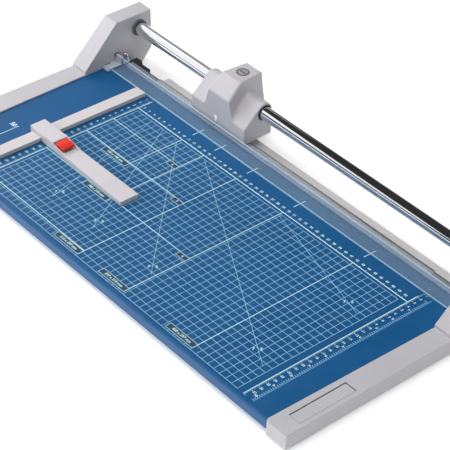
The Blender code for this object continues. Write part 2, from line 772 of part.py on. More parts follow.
def hump_half(z, inset):
    """Half width of the grip hump at a height."""
    drop = max(HUMP_TOP - z, 0.0) / (HUMP_TOP - SHOULDER_Z)
    return HUMP_TOP_HALF + HUMP_FLARE * min(drop, 1.0) ** HUMP_FLARE_POWER - inset


def grip_hump(name, inset):
    """Tapered hump over the blade; its sides flare out towards the shoulder."""
    front = HEAD_FRONT_Y + inset
    floor = HEAD_BOTTOM + 0.2 if inset == 0 else HEAD_BOTTOM - 5.0
    top = HUMP_TOP - inset
    outline = rounded([
        (front, floor),
        (HUMP_REAR_Y - inset, floor),
        (HUMP_REAR_Y - inset, top, 4.0 - inset * 0.5),
        (CUT_Y + 5.0, top, 9.0),
        (front, HUMP_FRONT_TOP - inset * 0.3, 1.5),
    ], steps=3)
    hump = extruded(name, outline, -1.0, 1.0, "YZ")
    work = bmesh.new()
    work.from_mesh(hump.data)
    levels = 7
    for level in range(levels):
        height = SHOULDER_Z + (HUMP_TOP - SHOULDER_Z) * level / levels
        bmesh.ops.bisect_plane(work, geom=work.verts[:] + work.edges[:] + work.faces[:], dist=0.0000001,
                               plane_co=(0, 0, height * MM), plane_no=(0, 0, 1))
    for vert in work.verts:
        vert.co.x = math.copysign(hump_half(vert.co.z / MM, inset) * MM, vert.co.x) + HEAD_X * MM
    work.to_mesh(hump.data)
    work.free()
    return hump


def head_housing():
    """Moulded shell of the cutting head, open underneath."""
    shell = extruded("head_housing", wing_outline(0.0), HEAD_X - HEAD_HALF, HEAD_X + HEAD_HALF, "YZ",
                     "head_plastic")
    bevel(shell, 0.9, segments=2, angle=35)
    join(shell, grip_hump("hump_outer", 0.0))
    core = HEAD_HALF - WING_CORE
    cut(shell, extruded("wing_inner", wing_outline(HEAD_WALL), HEAD_X - core, HEAD_X + core, "YZ"))
    cut(shell, grip_hump("hump_inner", HEAD_WALL))
    for side in (-1, 1):
        x = HEAD_X + side * CARRIER_BOSS_X
        boss = rod(f"carrier_boss_{side}", "Z", (x, CARRIER_BOSS_Y, 46.0), 4.2, 30.0, sides=20)
        pilot = rod(f"carrier_pilot_{side}", "Z", (x, CARRIER_BOSS_Y, 31.0), 1.5, 24.0, sides=16)
        x = HEAD_X + side * ROLLER_X
        rib_y = ROLLER_Y + ROLLER_WIDTH + 0.6
        rib = box(f"roller_rib_{side}", (x - 4.5, rib_y, HEAD_BOTTOM + 0.3), (x + 4.5, rib_y + 2.0, 52.0))
        lug = box(f"roller_lug_{side}", (x - 4.5, HEAD_FRONT_Y + 1.0, HEAD_BOTTOM + 0.3),
                  (x + 4.5, ROLLER_Y - 0.4, ROLLER_Z + 5.0))
        pin_hole = rod(f"roller_pin_hole_{side}", "Y", (x, ROLLER_Y + 3.4, ROLLER_Z), 1.4, 8.8, sides=16)
        join(shell, boss, rib, lug)
        cut(shell, pilot, pin_hole)
    bore = rod("bush_bore", "X", (HEAD_X, TUBE_Y, TUBE_Z), 10.9, 2 * HEAD_HALF + 10.0, sides=40)
    badge = rod("badge_recess", "Z", (HEAD_X, BADGE_Y, HUMP_TOP), BADGE_RADIUS + GAP, 1.6, sides=40)
    pointer = extruded("pointer_recess", pointer_outline(GAP), HEAD_FRONT_Y - 1.0, HEAD_FRONT_Y + 0.8, "XZ")
    cut(shell, bore, badge, pointer)


def pointer_outline(grow):
    """Downward triangle that marks the blade's place."""
    half = 3.2 + grow
    tip = (POINTER_X, BOARD_TOP + 9.0 - 1.6 * grow)
    return [tip, (POINTER_X + half, BOARD_TOP + 19.0 + grow), (POINTER_X - half, BOARD_TOP + 19.0 + grow)]


CARRIER_BOSS_X = 10.0
CARRIER_BOSS_Y = HUMP_REAR_Y - 6.0


def blade_carrier():
    """Steel bracket inside the head: a plate in front of the tube and a tongue under it."""
    low = HEAD_BOTTOM + 3.4
    path = [(CARRIER_Y, BLADE_Z + 9.5), (CARRIER_Y, low), (CARRIER_BOSS_Y + 3.6, low)]
    outline = path + list(reversed(offset(path, CARRIER_SHEET, closed=False)))
    carrier = extruded("blade_carrier", outline, HEAD_X - 15.0, HEAD_X + 15.0, "YZ", "galvanised_steel")
    bevel(carrier, 0.4, segments=1)
    cut(carrier, rod("axle_hole", "Y", (HEAD_X, CARRIER_Y, BLADE_Z), AXLE_RADIUS + 0.15, 12.0))
    for side in (-1, 1):
        x = HEAD_X + side * CARRIER_BOSS_X
        cut(carrier, rod(f"carrier_hole_{side}", "Z", (x, CARRIER_BOSS_Y, low), 1.6, 12.0, sides=16))
        screw(f"carrier_screw_{1 if side < 0 else 2}", "-Z", (x, CARRIER_BOSS_Y, low - 0.1), 2.9, 1.8, 1.3,
              12.0)


def head_bushes():
    """Plain bearings in the head's two ends."""
    for side, name in ((-1, "left"), (1, "right")):
        start = HEAD_X + side * (HEAD_HALF - WING_CORE / 2)
        half = WING_CORE / 2 + 0.4
        ring = [(10.6, half), (10.6, -half), (9.1, -half), (9.1, half), (10.6, half)]
        turned(f"tube_bush_{name}", "X", (start, TUBE_Y, TUBE_Z), ring, "black_plastic", steps=40)


def circular_blade():
    """Rotary blade with a ground rim, on a plastic hub."""
    blade = [(BLADE_RADIUS, 0.0), (4.1, 0.0), (4.1, BLADE_SHEET), (BLADE_RADIUS - 2.5, BLADE_SHEET),
             (BLADE_RADIUS, 0.25)]
    ring = list(reversed(blade)) + [blade[-1]]
    turned("circular_blade", "Y", (HEAD_X, BLADE_Y, BLADE_Z), list(reversed(ring)), "bright_steel", steps=64)
    hub = [(3.8, 1.4), (3.8, -GAP), (8.5, -GAP), (8.5, -3.0), (7.5, -3.9), (3.1, -3.9), (3.1, 1.4),
           (3.8, 1.4)]
    turned("blade_hub", "Y", (HEAD_X, BLADE_Y, BLADE_Z), hub, "black_plastic", steps=32)


def blade_axle():
    """Shoulder bolt, its nut and the dished spring that presses the blade to the knife."""
    bolt = [(0.0, 10.6), (AXLE_RADIUS - 0.4, 10.6), (AXLE_RADIUS, 10.2), (AXLE_RADIUS, -4.6), (5.5, -4.6),
            (5.5, -6.6),
            (4.7, -7.4), (0.0, -7.4)]
    turned("blade_axle", "Y", (HEAD_X, CUT_Y, BLADE_Z), bolt, "galvanised_steel", steps=24)
    nut_bore = (AXLE_RADIUS + 0.1) / math.cos(math.pi / 6)
    nut = [(5.6, 3.2), (5.6, 0.0), (nut_bore, 0.0), (nut_bore, 3.2), (5.6, 3.2)]
    turned("axle_nut", "Y", (HEAD_X, CARRIER_Y + CARRIER_SHEET + GAP, BLADE_Z), nut, "galvanised_steel",
           steps=6)
    spring = [(8.0, 2.2), (8.0, 1.8), (3.4, 3.7), (3.4, 4.1), (8.0, 2.2)]
    turned("blade_spring", "Y", (HEAD_X, CUT_Y, BLADE_Z), spring, "bright_steel", steps=24)


def press_rollers():
    """Rollers that press the strip down as the head passes, on their pins."""
    for side, name in ((-1, "left"), (1, "right")):
        x = HEAD_X + side * ROLLER_X
        wheel = [(ROLLER_RADIUS - 0.5, ROLLER_WIDTH), (ROLLER_RADIUS, ROLLER_WIDTH - 0.5),
                 (ROLLER_RADIUS, 0.5),
                 (ROLLER_RADIUS - 0.5, 0.0), (1.4, 0.0), (1.4, ROLLER_WIDTH), (ROLLER_RADIUS - 0.5,
                                                                               ROLLER_WIDTH)]
        turned(f"press_roller_{name}", "Y", (x, ROLLER_Y, ROLLER_Z), wheel, "dark_rubber", steps=24)
        rod(f"roller_pin_{name}", "Y", (x, ROLLER_Y + 3.4, ROLLER_Z), 1.1, 8.2, "galvanised_steel", sides=16)


def head_trim():
    """Blank round badge on top and the white cut pointer in front."""
    rim = [(0.0, 0.9), (BADGE_RADIUS - 2.0, 0.9), (BADGE_RADIUS - 1.6, 1.15), (BADGE_RADIUS - 0.4, 1.15),
           (BADGE_RADIUS, 0.8), (BADGE_RADIUS, 0.0), (0.0, 0.0)]
    turned("head_badge", "Z", (HEAD_X, BADGE_Y, HUMP_TOP - 0.7), rim, "head_plastic", steps=40)
    extruded("cut_pointer", pointer_outline(0.0), HEAD_FRONT_Y - 0.1, HEAD_FRONT_Y + 0.5, "XZ",
             "white_plastic")


# ---------------------------------------------------------------- paper stop and back gauge

def paper_stop():
    """Flat bar square to the cut, screwed down from under the table."""
    outline = rounded([
        (STOP_X - BAR_WIDTH, BOARD_TOP + GAP),
        (STOP_X, BOARD_TOP + GAP),
        (STOP_X, BAR_TOP, 0.7),
        (STOP_X - BAR_WIDTH, BAR_TOP, 0.7),
    ], steps=2)
    bar = extruded("paper_stop_bar", outline, BAR_FRONT_Y, BAR_REAR_Y, "XZ", "bar_enamel")
    x = STOP_X - BAR_WIDTH / 2
    for i, y in enumerate(BAR_SCREW_YS, 1):
        cut(bar, rod(f"bar_thread_{i}", "Z", (x, y, BOARD_TOP), 1.7, 8.0, sides=16))
        screw(f"stop_bar_screw_{i}", "-Z", (x, y, BOARD_TOP - SHEET - GAP), 3.4, 2.2, 1.4, 5.0)


def back_gauge():
    """Saddle block that rides on the stop bar, with the long arm and the lever's pocket."""
    left = STOP_X - BAR_WIDTH - 5.5
    outline = rounded([
        (left, BOARD_TOP + 2.0),
        (STOP_X - BAR_WIDTH - 0.4, BOARD_TOP + 2.0),
        (STOP_X - BAR_WIDTH - 0.4, BAR_TOP + 0.4),
        (STOP_X + 0.4, BAR_TOP + 0.4),
        (STOP_X + 0.4, ARM_BOTTOM),
        (STOP_X + GAUGE_LENGTH, ARM_BOTTOM),
        (STOP_X + GAUGE_LENGTH, ARM_TOP, 0.8),
        (STOP_X + 54.0, ARM_TOP, 12.0),
        (STOP_X + 22.0, BLOCK_TOP, 3.0),
        (left, BLOCK_TOP, 1.2),
    ], steps=3)
    arm = extruded("back_gauge_arm", outline, GAUGE_FRONT_Y, GAUGE_REAR_Y, "XZ", "gauge_plastic")
    for vertex in arm.data.vertices:
        if vertex.co.y < GAUGE_MIDDLE_Y * MM:
            share = (vertex.co.x / MM - left) / (STOP_X + GAUGE_LENGTH - left)
            vertex.co.y -= GAUGE_FLARE * share * MM
    bevel(arm, 0.6, segments=2, angle=60)
    middle = GAUGE_MIDDLE_Y
    pocket = box("lever_pocket", (STOP_X + 24.5, middle - 10.6, BOARD_TOP + 4.6),
                 (STOP_X + 45.4, middle + 10.6, 50.0))
    dip = box("finger_dip", (STOP_X + 44.0, middle - 9.6, BOARD_TOP + 5.6),
              (STOP_X + 52.0, middle + 9.6, 50.0))
    track = box("shoe_track", (STOP_X - 1.0, middle - 6.3, BOARD_TOP - 1.0),
                (STOP_X + 27.0, middle + 6.3, BOARD_TOP + 5.4))
    hole = rod("lever_pin_hole", "Y", (LEVER_PIN[0], middle, LEVER_PIN[1]), 1.3, 22.4, sides=16)
    cut(arm, pocket, dip, track, hole)
    rod("lever_pin", "Y", (LEVER_PIN[0], middle, LEVER_PIN[1]), 1.0, 21.6, "galvanised_steel", sides=16)
    shoe = box("clamp_shoe", (STOP_X + 0.7, middle - 6.0, BOARD_TOP + 0.6),
               (STOP_X + 26.3, middle + 6.0, BOARD_TOP + 5.1), "dark_rubber")
    bevel(shoe, 0.5, segments=1)


def clamp_lever():
    """Red lever that locks the back gauge; its far end lifts to free it."""
    middle = GAUGE_MIDDLE_Y
    x, z = LEVER_PIN
    outline = rounded([
        (x - 3.0, z - 2.6, 1.0),
        (x + 3.0, z - 3.6, 1.0),
        (x + 8.0, z - 1.6),
        (x + 14.0, z - 1.2, 1.0),
        (x + 14.2, z + 2.2, 1.2),
        (x + 7.0, z + 3.7, 12.0),
        (x - 3.0, z + 3.2, 1.5),
    ], steps=3)
    lever = extruded("clamp_lever", outline, middle - 9.2, middle + 9.2, "XZ", "red_plastic")
    bevel(lever, 0.8, segments=2, angle=50)
    cut(lever, rod("lever_eye", "Y", (x, middle, z), 1.15, 30.0, sides=16))


def assemble():
    """Build every part."""
    end_frames()
    rubber_feet()
    table_board()
    table_stiffener()
    knife_rail()
    lower_knife()
    knife_end_blocks()
    guide_tube()
    tube_fittings()
    clamp_strip()
    strip_clips()
    strip_posts()
    head_housing()
    blade_carrier()
    head_bushes()
    circular_blade()
    blade_axle()
    press_rollers()
    head_trim()
    paper_stop()
    back_gauge()
    clamp_lever()


assemble()
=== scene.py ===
"""Looks for the rotary paper trimmer: refined shells, the printed table and the finishes of its parts.

Places are in millimetres in the row frame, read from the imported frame; meshes are in metres.
"""

import json
import math

import bmesh
import bpy
import numpy as np
import openvdb
from mathutils import Matrix, Vector


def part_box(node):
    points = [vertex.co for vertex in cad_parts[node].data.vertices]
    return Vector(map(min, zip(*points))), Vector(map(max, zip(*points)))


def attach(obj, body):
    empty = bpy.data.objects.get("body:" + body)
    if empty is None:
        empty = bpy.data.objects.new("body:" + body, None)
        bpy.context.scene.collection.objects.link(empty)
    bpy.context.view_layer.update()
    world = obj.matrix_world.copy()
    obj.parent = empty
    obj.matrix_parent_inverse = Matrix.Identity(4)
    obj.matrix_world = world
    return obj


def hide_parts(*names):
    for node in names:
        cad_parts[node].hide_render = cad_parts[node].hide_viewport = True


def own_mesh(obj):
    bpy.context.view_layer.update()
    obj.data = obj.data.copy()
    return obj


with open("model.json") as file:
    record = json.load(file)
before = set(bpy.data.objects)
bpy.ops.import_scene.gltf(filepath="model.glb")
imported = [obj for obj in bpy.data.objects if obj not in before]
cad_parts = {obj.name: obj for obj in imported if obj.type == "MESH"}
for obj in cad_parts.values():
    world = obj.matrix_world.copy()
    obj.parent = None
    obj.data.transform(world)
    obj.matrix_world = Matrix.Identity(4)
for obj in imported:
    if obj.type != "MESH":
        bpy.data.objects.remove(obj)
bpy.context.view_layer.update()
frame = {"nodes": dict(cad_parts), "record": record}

MM = 0.001


def span(node):
    """Lowest and highest corner of a CAD node, in millimetres."""
    low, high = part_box(node)
    return Vector(low) / MM, Vector(high) / MM


def middle(node):
    """Centre of a CAD node's box, in millimetres."""
    low, high = span(node)
    return (low + high) / 2


# Places read from the frame
CAP_LOW, CAP_HIGH = span("right_end_frame")
OUTER_X = CAP_HIGH.x
END_WIDTH = 31.5
INNER_X = OUTER_X - END_WIDTH
FRONT_Y, UPRIGHT_REAR_Y = CAP_LOW.y, CAP_HIGH.y
FOOT_HEIGHT, UPRIGHT_TOP = CAP_LOW.z, CAP_HIGH.z
BOARD_LOW, BOARD_HIGH = span("table_board")
BOARD_TOP = BOARD_HIGH.z
CUT_Y = span("lower_knife")[1].y
STOP_LOW, STOP_HIGH = span("paper_stop_bar")
STOP_X = STOP_HIGH.x
TUBE = middle("guide_tube")
TUBE_HALF = span("guide_tube")[1].x
TUBE_RADIUS = (span("guide_tube")[1].z - span("guide_tube")[0].z) / 2
HEAD_LOW, HEAD_HIGH = span("head_housing")
HEAD = (HEAD_LOW + HEAD_HIGH) / 2
HEAD_HALF = (HEAD_HIGH.x - HEAD_LOW.x) / 2
BLADE = middle("circular_blade")

# Sizes of the moulded parts
GAP = 0.3
WALL = 2.5
BOARD_SHEET = 1.5
CAP_TOP = BOARD_TOP + 2.0
RISER_Y = CUT_Y - 74.0
SLOPE_TOP_Y = CUT_Y - 19.4
CHAMFER_Y = CUT_Y + 20.5
FACE_Y = CUT_Y - 199.0
FACE_FLARE, FACE_DRAFT = 0.02, 0.045
STRIP_WALL_Y = CUT_Y - 22.0
STRIP_WALL_REAR = STRIP_WALL_Y + 2.0
CLIP_SHEET = 0.9
HEAD_WALL = 2.0
HEAD_FRONT_Y = HEAD_LOW.y
SHOULDER_Z = BOARD_TOP + 25.5
WING_RADIUS = 13.0
HUMP_HALF, HUMP_DRAFT, HUMP_FLARE, HUMP_TAPER = 18.4, 0.06, 0.0033, 0.08
HUMP_EDGE, FLANK_EDGE, END_EDGE, FRONT_EDGE, HUMP_FILLET = 3.0, 2.6, 2.2, 1.6, 3.5
END_WALL, HEAD_BORE = 8.5, 10.9
GAUGE_FLARE = 5.0


# ---- mesh helpers

AXES = {
    "X": Matrix.Rotation(math.pi / 2, 4, "Y"),
    "-X": Matrix.Rotation(-math.pi / 2, 4, "Y"),
    "Y": Matrix.Rotation(-math.pi / 2, 4, "X"),
    "-Y": Matrix.Rotation(math.pi / 2, 4, "X"),
    "Z": Matrix.Identity(4),
    "-Z": Matrix.Rotation(math.pi, 4, "X"),
}


def linked(name, work):
    """Turn a bmesh into an object of the scene."""
    mesh = bpy.data.meshes.new(name)
    bmesh.ops.recalc_face_normals(work, faces=work.faces)
    work.to_mesh(mesh)
    work.free()
    obj = bpy.data.objects.new(name, mesh)
    bpy.context.scene.collection.objects.link(obj)
    return obj


def place(plane, a, b, across):
    """Point in metres for outline coordinates in a plane and a place across it."""
    order = {"YZ": (across, a, b), "XZ": (a, across, b), "XY": (a, b, across)}
    return Vector(order[plane]) * MM


def add_prism(work, points, start, end, plane):
    """Add a closed prism to a bmesh: a flat outline run across its plane."""
    near = [work.verts.new(place(plane, a, b, start)) for a, b in points]
    far = [work.verts.new(place(plane, a, b, end)) for a, b in points]
    work.faces.new(near)
    work.faces.new(list(reversed(far)))
    count = len(points)
    for i in range(count):
        j = (i + 1) % count
        work.faces.new((near[j], near[i], far[i], far[j]))


def prism(name, points, start, end, plane):
    """Object made of one prism."""
    work = bmesh.new()
    add_prism(work, points, start, end, plane)
    return linked(name, work)


def corners(low, high):
    """Rectangle through two corners of a plane."""
    return [(low[0], low[1]), (high[0], low[1]), (high[0], high[1]), (low[0], high[1])]


def block(name, low, high):
    """Box between two corners."""
    return prism(name, corners(low, high), low[2], high[2], "XY")


def turned(name, axis, origin, profile, sides=64):
    """Turn (radius, height) points about an axis; a profile that ends where it began makes a ring."""
    work = bmesh.new()
    ring = profile[0] == profile[-1]
    rows = []
    for radius, height in profile[:-1] if ring else profile:
        around = sides if radius > 0 else 1
        angles = [2 * math.pi * i / around for i in range(around)]
        circle = [(radius * math.cos(a) * MM, radius * math.sin(a) * MM, height * MM) for a in angles]
        rows.append([work.verts.new(spot) for spot in circle])
    following = rows[1:] + (rows[:1] if ring else [])
    for upper, lower in zip(rows, following):
        for i in range(sides):
            j = (i + 1) % sides
            loop = [upper[i % len(upper)], lower[i % len(lower)]]
            loop += [lower[j % len(lower)], upper[j % len(upper)]]
            work.faces.new(list(dict.fromkeys(loop)))
    bmesh.ops.transform(work, matrix=Matrix.Translation(Vector(origin) * MM) @ AXES[axis], verts=work.verts)
    return linked(name, work)


def rod(name, axis, centre, radius, length, sides=48):
    """Cylinder about an axis, centred on a point."""
    half = length / 2
    return turned(name, axis, centre, [(0, half), (radius, half), (radius, -half), (0, -half)], sides)


def rounded(points, steps=6):
    """Replace each (a, b, radius) corner of an outline with an arc."""
    path = []
    count = len(points)
    for i, corner in enumerate(points):
        here = Vector(corner[:2])
        if len(corner) == 2:
            path.append(tuple(here))
            continue
        before = (Vector(points[i - 1][:2]) - here).normalized()
        after = (Vector(points[(i + 1) % count][:2]) - here).normalized()
        half = before.angle(after) / 2
        reach = corner[2] / math.tan(half)
        centre = here + (before + after).normalized() * corner[2] / math.sin(half)
        start = here + before * reach - centre
        turn = start.angle_signed(here + after * reach - centre)
        for step in range(steps + 1):
            arm = start.copy()
            arm.rotate(Matrix.Rotation(-turn * step / steps, 2))
            path.append(tuple(centre + arm))
    return path


def turned_ring(name, axis, seat, section, sides=96, steps=4):
    """Ring turned from a closed (radius, height) section, which may have rounded corners."""
    section = rounded(section, steps)
    return turned(name, axis, seat, section + section[:1], sides)


def offset(points, distance, closed=True):
    """Move an outline to its left by a distance, edge by edge."""
    moved = []
    count = len(points)
    for i in range(count):
        here = Vector(points[i])
        sides = []
        if closed or i > 0:
            sides.append((here - Vector(points[i - 1])).normalized())
        if closed or i < count - 1:
            sides.append((Vector(points[(i + 1) % count]) - here).normalized())
        normals = [Vector((-side.y, side.x)) for side in sides]
        total = sum(normals[1:], normals[0])
        scale = 1.0 if len(normals) == 1 else 1.0 / (1.0 + normals[0].dot(normals[1]))
        moved.append(tuple(here + total * distance * scale))
    return moved


def baked(obj):
    """Apply an object's modifiers."""
    bpy.context.view_layer.update()
    depsgraph = bpy.context.evaluated_depsgraph_get()
    mesh = bpy.data.meshes.new_from_object(obj.evaluated_get(depsgraph))
    obj.modifiers.clear()
    obj.data = mesh
    return obj


def curve_mesh(curve):
    """Mesh of a curve or a text."""
    holder = bpy.data.objects.new("holder", curve)
    bpy.context.scene.collection.objects.link(holder)
    bpy.context.view_layer.update()
    depsgraph = bpy.context.evaluated_depsgraph_get()
    mesh = bpy.data.meshes.new_from_object(holder.evaluated_get(depsgraph))
    bpy.data.objects.remove(holder, do_unlink=True)
    return mesh


def combine(obj, tools, operation):
    """Boolean with each tool in turn, which is then removed."""
    for tool in tools:
        modifier = obj.modifiers.new("boolean", "BOOLEAN")
        modifier.operation = operation
        modifier.solver = "EXACT"
        modifier.object = tool
        baked(obj)
        bpy.data.objects.remove(tool, do_unlink=True)
    return obj


def cut(obj, *tools):
    """Cut the tools out."""
    return combine(obj, tools, "DIFFERENCE")


def join(obj, *tools):
    """Add the tools."""
    return combine(obj, tools, "UNION")


def soften(obj, width, segments=4, angle=28):
    """Round the edges sharper than an angle."""
    bevel = obj.modifiers.new("soften", "BEVEL")
    bevel.width = width * MM
    bevel.segments = segments
    bevel.limit_method = "ANGLE"
    bevel.angle_limit = math.radians(angle)
    return baked(obj)


def dress(obj, body, slot, *nodes, finish=None, sharp=32):
    """Shade a finished piece, give it its material, and hand it to its body in place of the CAD nodes."""
    obj.data.shade_smooth()
    obj.data.set_sharp_from_angle(angle=math.radians(sharp))
    weighted = obj.modifiers.new("normals", "WEIGHTED_NORMAL")
    weighted.keep_sharp = True
    obj.data.materials.clear()
    obj.data.materials.append(finish or FINISHES[slot])
    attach(obj, body)
    if nodes:
        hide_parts(*nodes)
    return obj


# ---- materials

class Surface:
    """A node material built around one Principled shader, in object coordinates."""

    def __init__(self, name, colour, roughness, metallic=0.0, **inputs):
        self.material = bpy.data.materials.new(name)
        self.material.use_nodes = True
        self.tree = self.material.node_tree
        self.shader = self.tree.nodes["Principled BSDF"]
        self.set("Base Color", (*colour, 1.0))
        self.set("Roughness", roughness)
        self.set("Metallic", metallic)
        for socket, value in inputs.items():
            self.set(socket.replace("_", " "), value)
        self.coords = self.node("TexCoord").outputs["Object"]
        self.height = None

    def node(self, kind):
        """Add a shader node."""
        return self.tree.nodes.new("ShaderNode" + kind)

    def set(self, socket, value):
        """Set a constant on the shader."""
        self.shader.inputs[socket].default_value = value

    def link(self, source, target):
        """Link two sockets."""
        self.tree.links.new(source, target)

    def noise(self, scale, detail=3.0, stretch=(1.0, 1.0, 1.0)):
        """Noise output, with the coordinates stretched first."""
        mapping = self.node("Mapping")
        mapping.inputs["Scale"].default_value = stretch
        texture = self.node("TexNoise")
        texture.inputs["Scale"].default_value = scale
        texture.inputs["Detail"].default_value = detail
        self.link(self.coords, mapping.inputs["Vector"])
        self.link(mapping.outputs["Vector"], texture.inputs["Vector"])
        return texture.outputs["Fac"]

    def ranged(self, source, low, high, start=0.3, end=0.7):
        """Map a 0 to 1 output to a range."""
        mapped = self.node("MapRange")
        mapped.inputs["From Min"].default_value = start
        mapped.inputs["From Max"].default_value = end
        mapped.inputs["To Min"].default_value = low
        mapped.inputs["To Max"].default_value = high
        self.link(source, mapped.inputs["Value"])
        return mapped.outputs["Result"]

    def tint(self, source, first, second, start=0.3, end=0.7):
        """Colour the surface between two tones."""
        ramp = self.node("ValToRGB")
        ramp.color_ramp.elements[0].position = start
        ramp.color_ramp.elements[0].color = (*first, 1.0)
        ramp.color_ramp.elements[1].position = end
        ramp.color_ramp.elements[1].color = (*second, 1.0)
        self.link(source, ramp.inputs["Fac"])
        self.link(ramp.outputs["Color"], self.shader.inputs["Base Color"])
        return ramp

    def rough(self, source, low, high, start=0.3, end=0.7):
        """Vary the roughness."""
        self.link(self.ranged(source, low, high, start, end), self.shader.inputs["Roughness"])

    def bump(self, source, strength, depth_mm):
        """Stack a bump layer on the surface."""
        layer = self.node("Bump")
        layer.inputs["Strength"].default_value = strength
        layer.inputs["Distance"].default_value = depth_mm * MM
        self.link(source, layer.inputs["Height"])
        if self.height:
            self.link(self.height, layer.inputs["Normal"])
        self.height = layer.outputs["Normal"]
        self.link(self.height, self.shader.inputs["Normal"])


def shade(colour, factor):
    """Colour scaled in brightness."""
    return tuple(min(c * factor, 1.0) for c in colour)


def moulded_plastic(name, colour, roughness=0.42, grain=0.25):
    """Spark-eroded moulded plastic: fine grain, faint flow marks, slightly uneven gloss."""
    surface = Surface(name, colour, roughness, Specular_IOR_Level=0.45)
    surface.tint(surface.noise(14.0, 5.0), shade(colour, 0.965), shade(colour, 1.03))
    surface.rough(surface.noise(220.0), roughness - 0.05, roughness + 0.09)
    surface.bump(surface.noise(60.0, 2.0), 0.06, 0.6)
    surface.bump(surface.noise(1900.0, 2.0), grain, 0.06)
    return surface.material


def painted_sheet(name, colour):
    """Satin stove enamel with orange peel and rubbed, glossier patches."""
    surface = Surface(name, colour, 0.34, Specular_IOR_Level=0.36)
    surface.tint(surface.noise(9.0, 6.0), shade(colour, 0.93), shade(colour, 1.06))
    surface.rough(surface.noise(35.0, 6.0), 0.29, 0.40)
    surface.bump(surface.noise(420.0, 2.0), 0.10, 0.10)
    surface.bump(surface.noise(2600.0, 1.0), 0.08, 0.03)
    return surface.material


def printed_ink(name, colour):
    """Screen-printed ink, a little uneven in cover."""
    surface = Surface(name, colour, 0.45)
    surface.tint(surface.noise(700.0, 4.0), shade(colour, 0.88), shade(colour, 1.0), 0.25, 0.55)
    surface.bump(surface.noise(3000.0, 2.0), 0.15, 0.02)
    return surface.material


def drawn_metal(name, colour, roughness, stretch, lines=0.12):
    """Ground or drawn metal, with fine lines along one way."""
    surface = Surface(name, colour, roughness, 1.0)
    streaks = surface.noise(1.0, 4.0, stretch)
    surface.tint(surface.noise(30.0, 5.0), shade(colour, 0.9), shade(colour, 1.05))
    surface.rough(streaks, roughness * 0.7, roughness * 1.35)
    surface.bump(streaks, lines, 0.03)
    return surface.material


def polished_chrome(name, colour):
    """Chrome plate with hairline wear along the tube."""
    surface = Surface(name, colour, 0.05, 1.0)
    surface.rough(surface.noise(1.0, 5.0, (14.0, 900.0, 900.0)), 0.035, 0.085)
    surface.bump(surface.noise(1.0, 3.0, (6.0, 700.0, 700.0)), 0.012, 0.02)
    return surface.material


def rubber(name, colour):
    """Matt rubber with a dusty bloom."""
    surface = Surface(name, colour, 0.75, Specular_IOR_Level=0.3)
    surface.tint(surface.noise(80.0, 5.0), shade(colour, 0.7), shade(colour, 1.5))
    surface.bump(surface.noise(1500.0, 3.0), 0.3, 0.08)
    return surface.material


def zinc_plate(name, colour):
    """Zinc-plated steel with its mottled passivation."""
    surface = Surface(name, colour, 0.35, 1.0)
    surface.tint(surface.noise(160.0, 4.0), shade(colour, 0.85), shade(colour, 1.1))
    surface.rough(surface.noise(420.0), 0.27, 0.48)
    surface.bump(surface.noise(900.0), 0.1, 0.04)
    return surface.material


def clear_sheet(name, colour, alpha, roughness=0.16):
    """Clear acrylic seen as a pale veil, faintly cloudy, with handling haze in its gloss."""
    surface = Surface(name, colour, roughness, Alpha=alpha, IOR=1.49, Specular_IOR_Level=0.25)
    surface.tint(surface.noise(26.0, 4.0), shade(colour, 0.94), shade(colour, 1.05))
    surface.rough(surface.noise(90.0, 4.0), roughness * 0.8, roughness * 1.5)
    return surface.material


def glossy_plastic(name, colour, roughness=0.24):
    """Smooth moulded plastic with faint handling marks."""
    surface = Surface(name, colour, roughness, Specular_IOR_Level=0.5)
    surface.tint(surface.noise(60.0, 4.0), shade(colour, 0.93), shade(colour, 1.04))
    surface.rough(surface.noise(300.0, 5.0), roughness * 0.8, roughness * 1.5)
    surface.bump(surface.noise(1200.0), 0.05, 0.04)
    return surface.material


ALONG_X = (8.0, 1500.0, 1500.0)
FINISHES = {
    "grey_plastic": moulded_plastic("moulded_grey", (0.50, 0.49, 0.515)),
    "head_plastic": moulded_plastic("moulded_head_grey", (0.515, 0.50, 0.525), 0.38),
    "gauge_plastic": moulded_plastic("moulded_warm_grey", (0.61, 0.58, 0.61), 0.45),
    "bar_enamel": moulded_plastic("enamelled_bar", (0.62, 0.59, 0.60), 0.40, 0.4),
    "blue_paint": painted_sheet("blue_enamel", (0.0030, 0.087, 0.240)),
    "chrome": polished_chrome("polished_chrome", (0.86, 0.87, 0.89)),
    "bright_steel": drawn_metal("ground_steel", (0.60, 0.60, 0.61), 0.27, ALONG_X, 0.05),
    # The aluminium rail is drawn as near-white plastic: its whiteness is a painted reflection of the white
    # surroundings, in place of bare metal.
    "aluminium": moulded_plastic("rail_painted_white_reflection", (0.93, 0.90, 0.895), 0.40, 0.1),
    "galvanised_steel": zinc_plate("zinc_plate", (0.58, 0.59, 0.60)),
    "black_plastic": moulded_plastic("satin_black", (0.022, 0.023, 0.026), 0.45),
    "dark_rubber": rubber("grey_rubber", (0.11, 0.11, 0.12)),
    "clear_plastic": clear_sheet("clear_acrylic", (0.62, 0.68, 0.76), 0.25),
    "frosted_plastic": clear_sheet("frosted_plastic", (0.62, 0.70, 0.80), 0.50, 0.4),
    "red_plastic": glossy_plastic("red_plastic", (0.76, 0.020, 0.004), 0.34),
    "white_plastic": moulded_plastic("white_plastic", (0.96, 0.96, 0.96), 0.4),
}
BADGE_GREY = moulded_plastic("badge_grey", (0.32, 0.32, 0.335), 0.4)
BADGE_DARK = moulded_plastic("badge_dark", (0.085, 0.085, 0.095), 0.4)
WHITE_INK = printed_ink("white_ink", (0.66, 0.94, 0.94))
PALE_INK = printed_ink("pale_blue_ink", (0.50, 0.86, 1.0))
BAND_INK = printed_ink("band_blue_ink", (0.07, 0.24, 0.50))
DARK_INK = printed_ink("dark_blue_ink", (0.004, 0.045, 0.10))
FLANGE_ACRYLIC = clear_sheet("flange_acrylic", (0.55, 0.68, 0.72), 0.09)
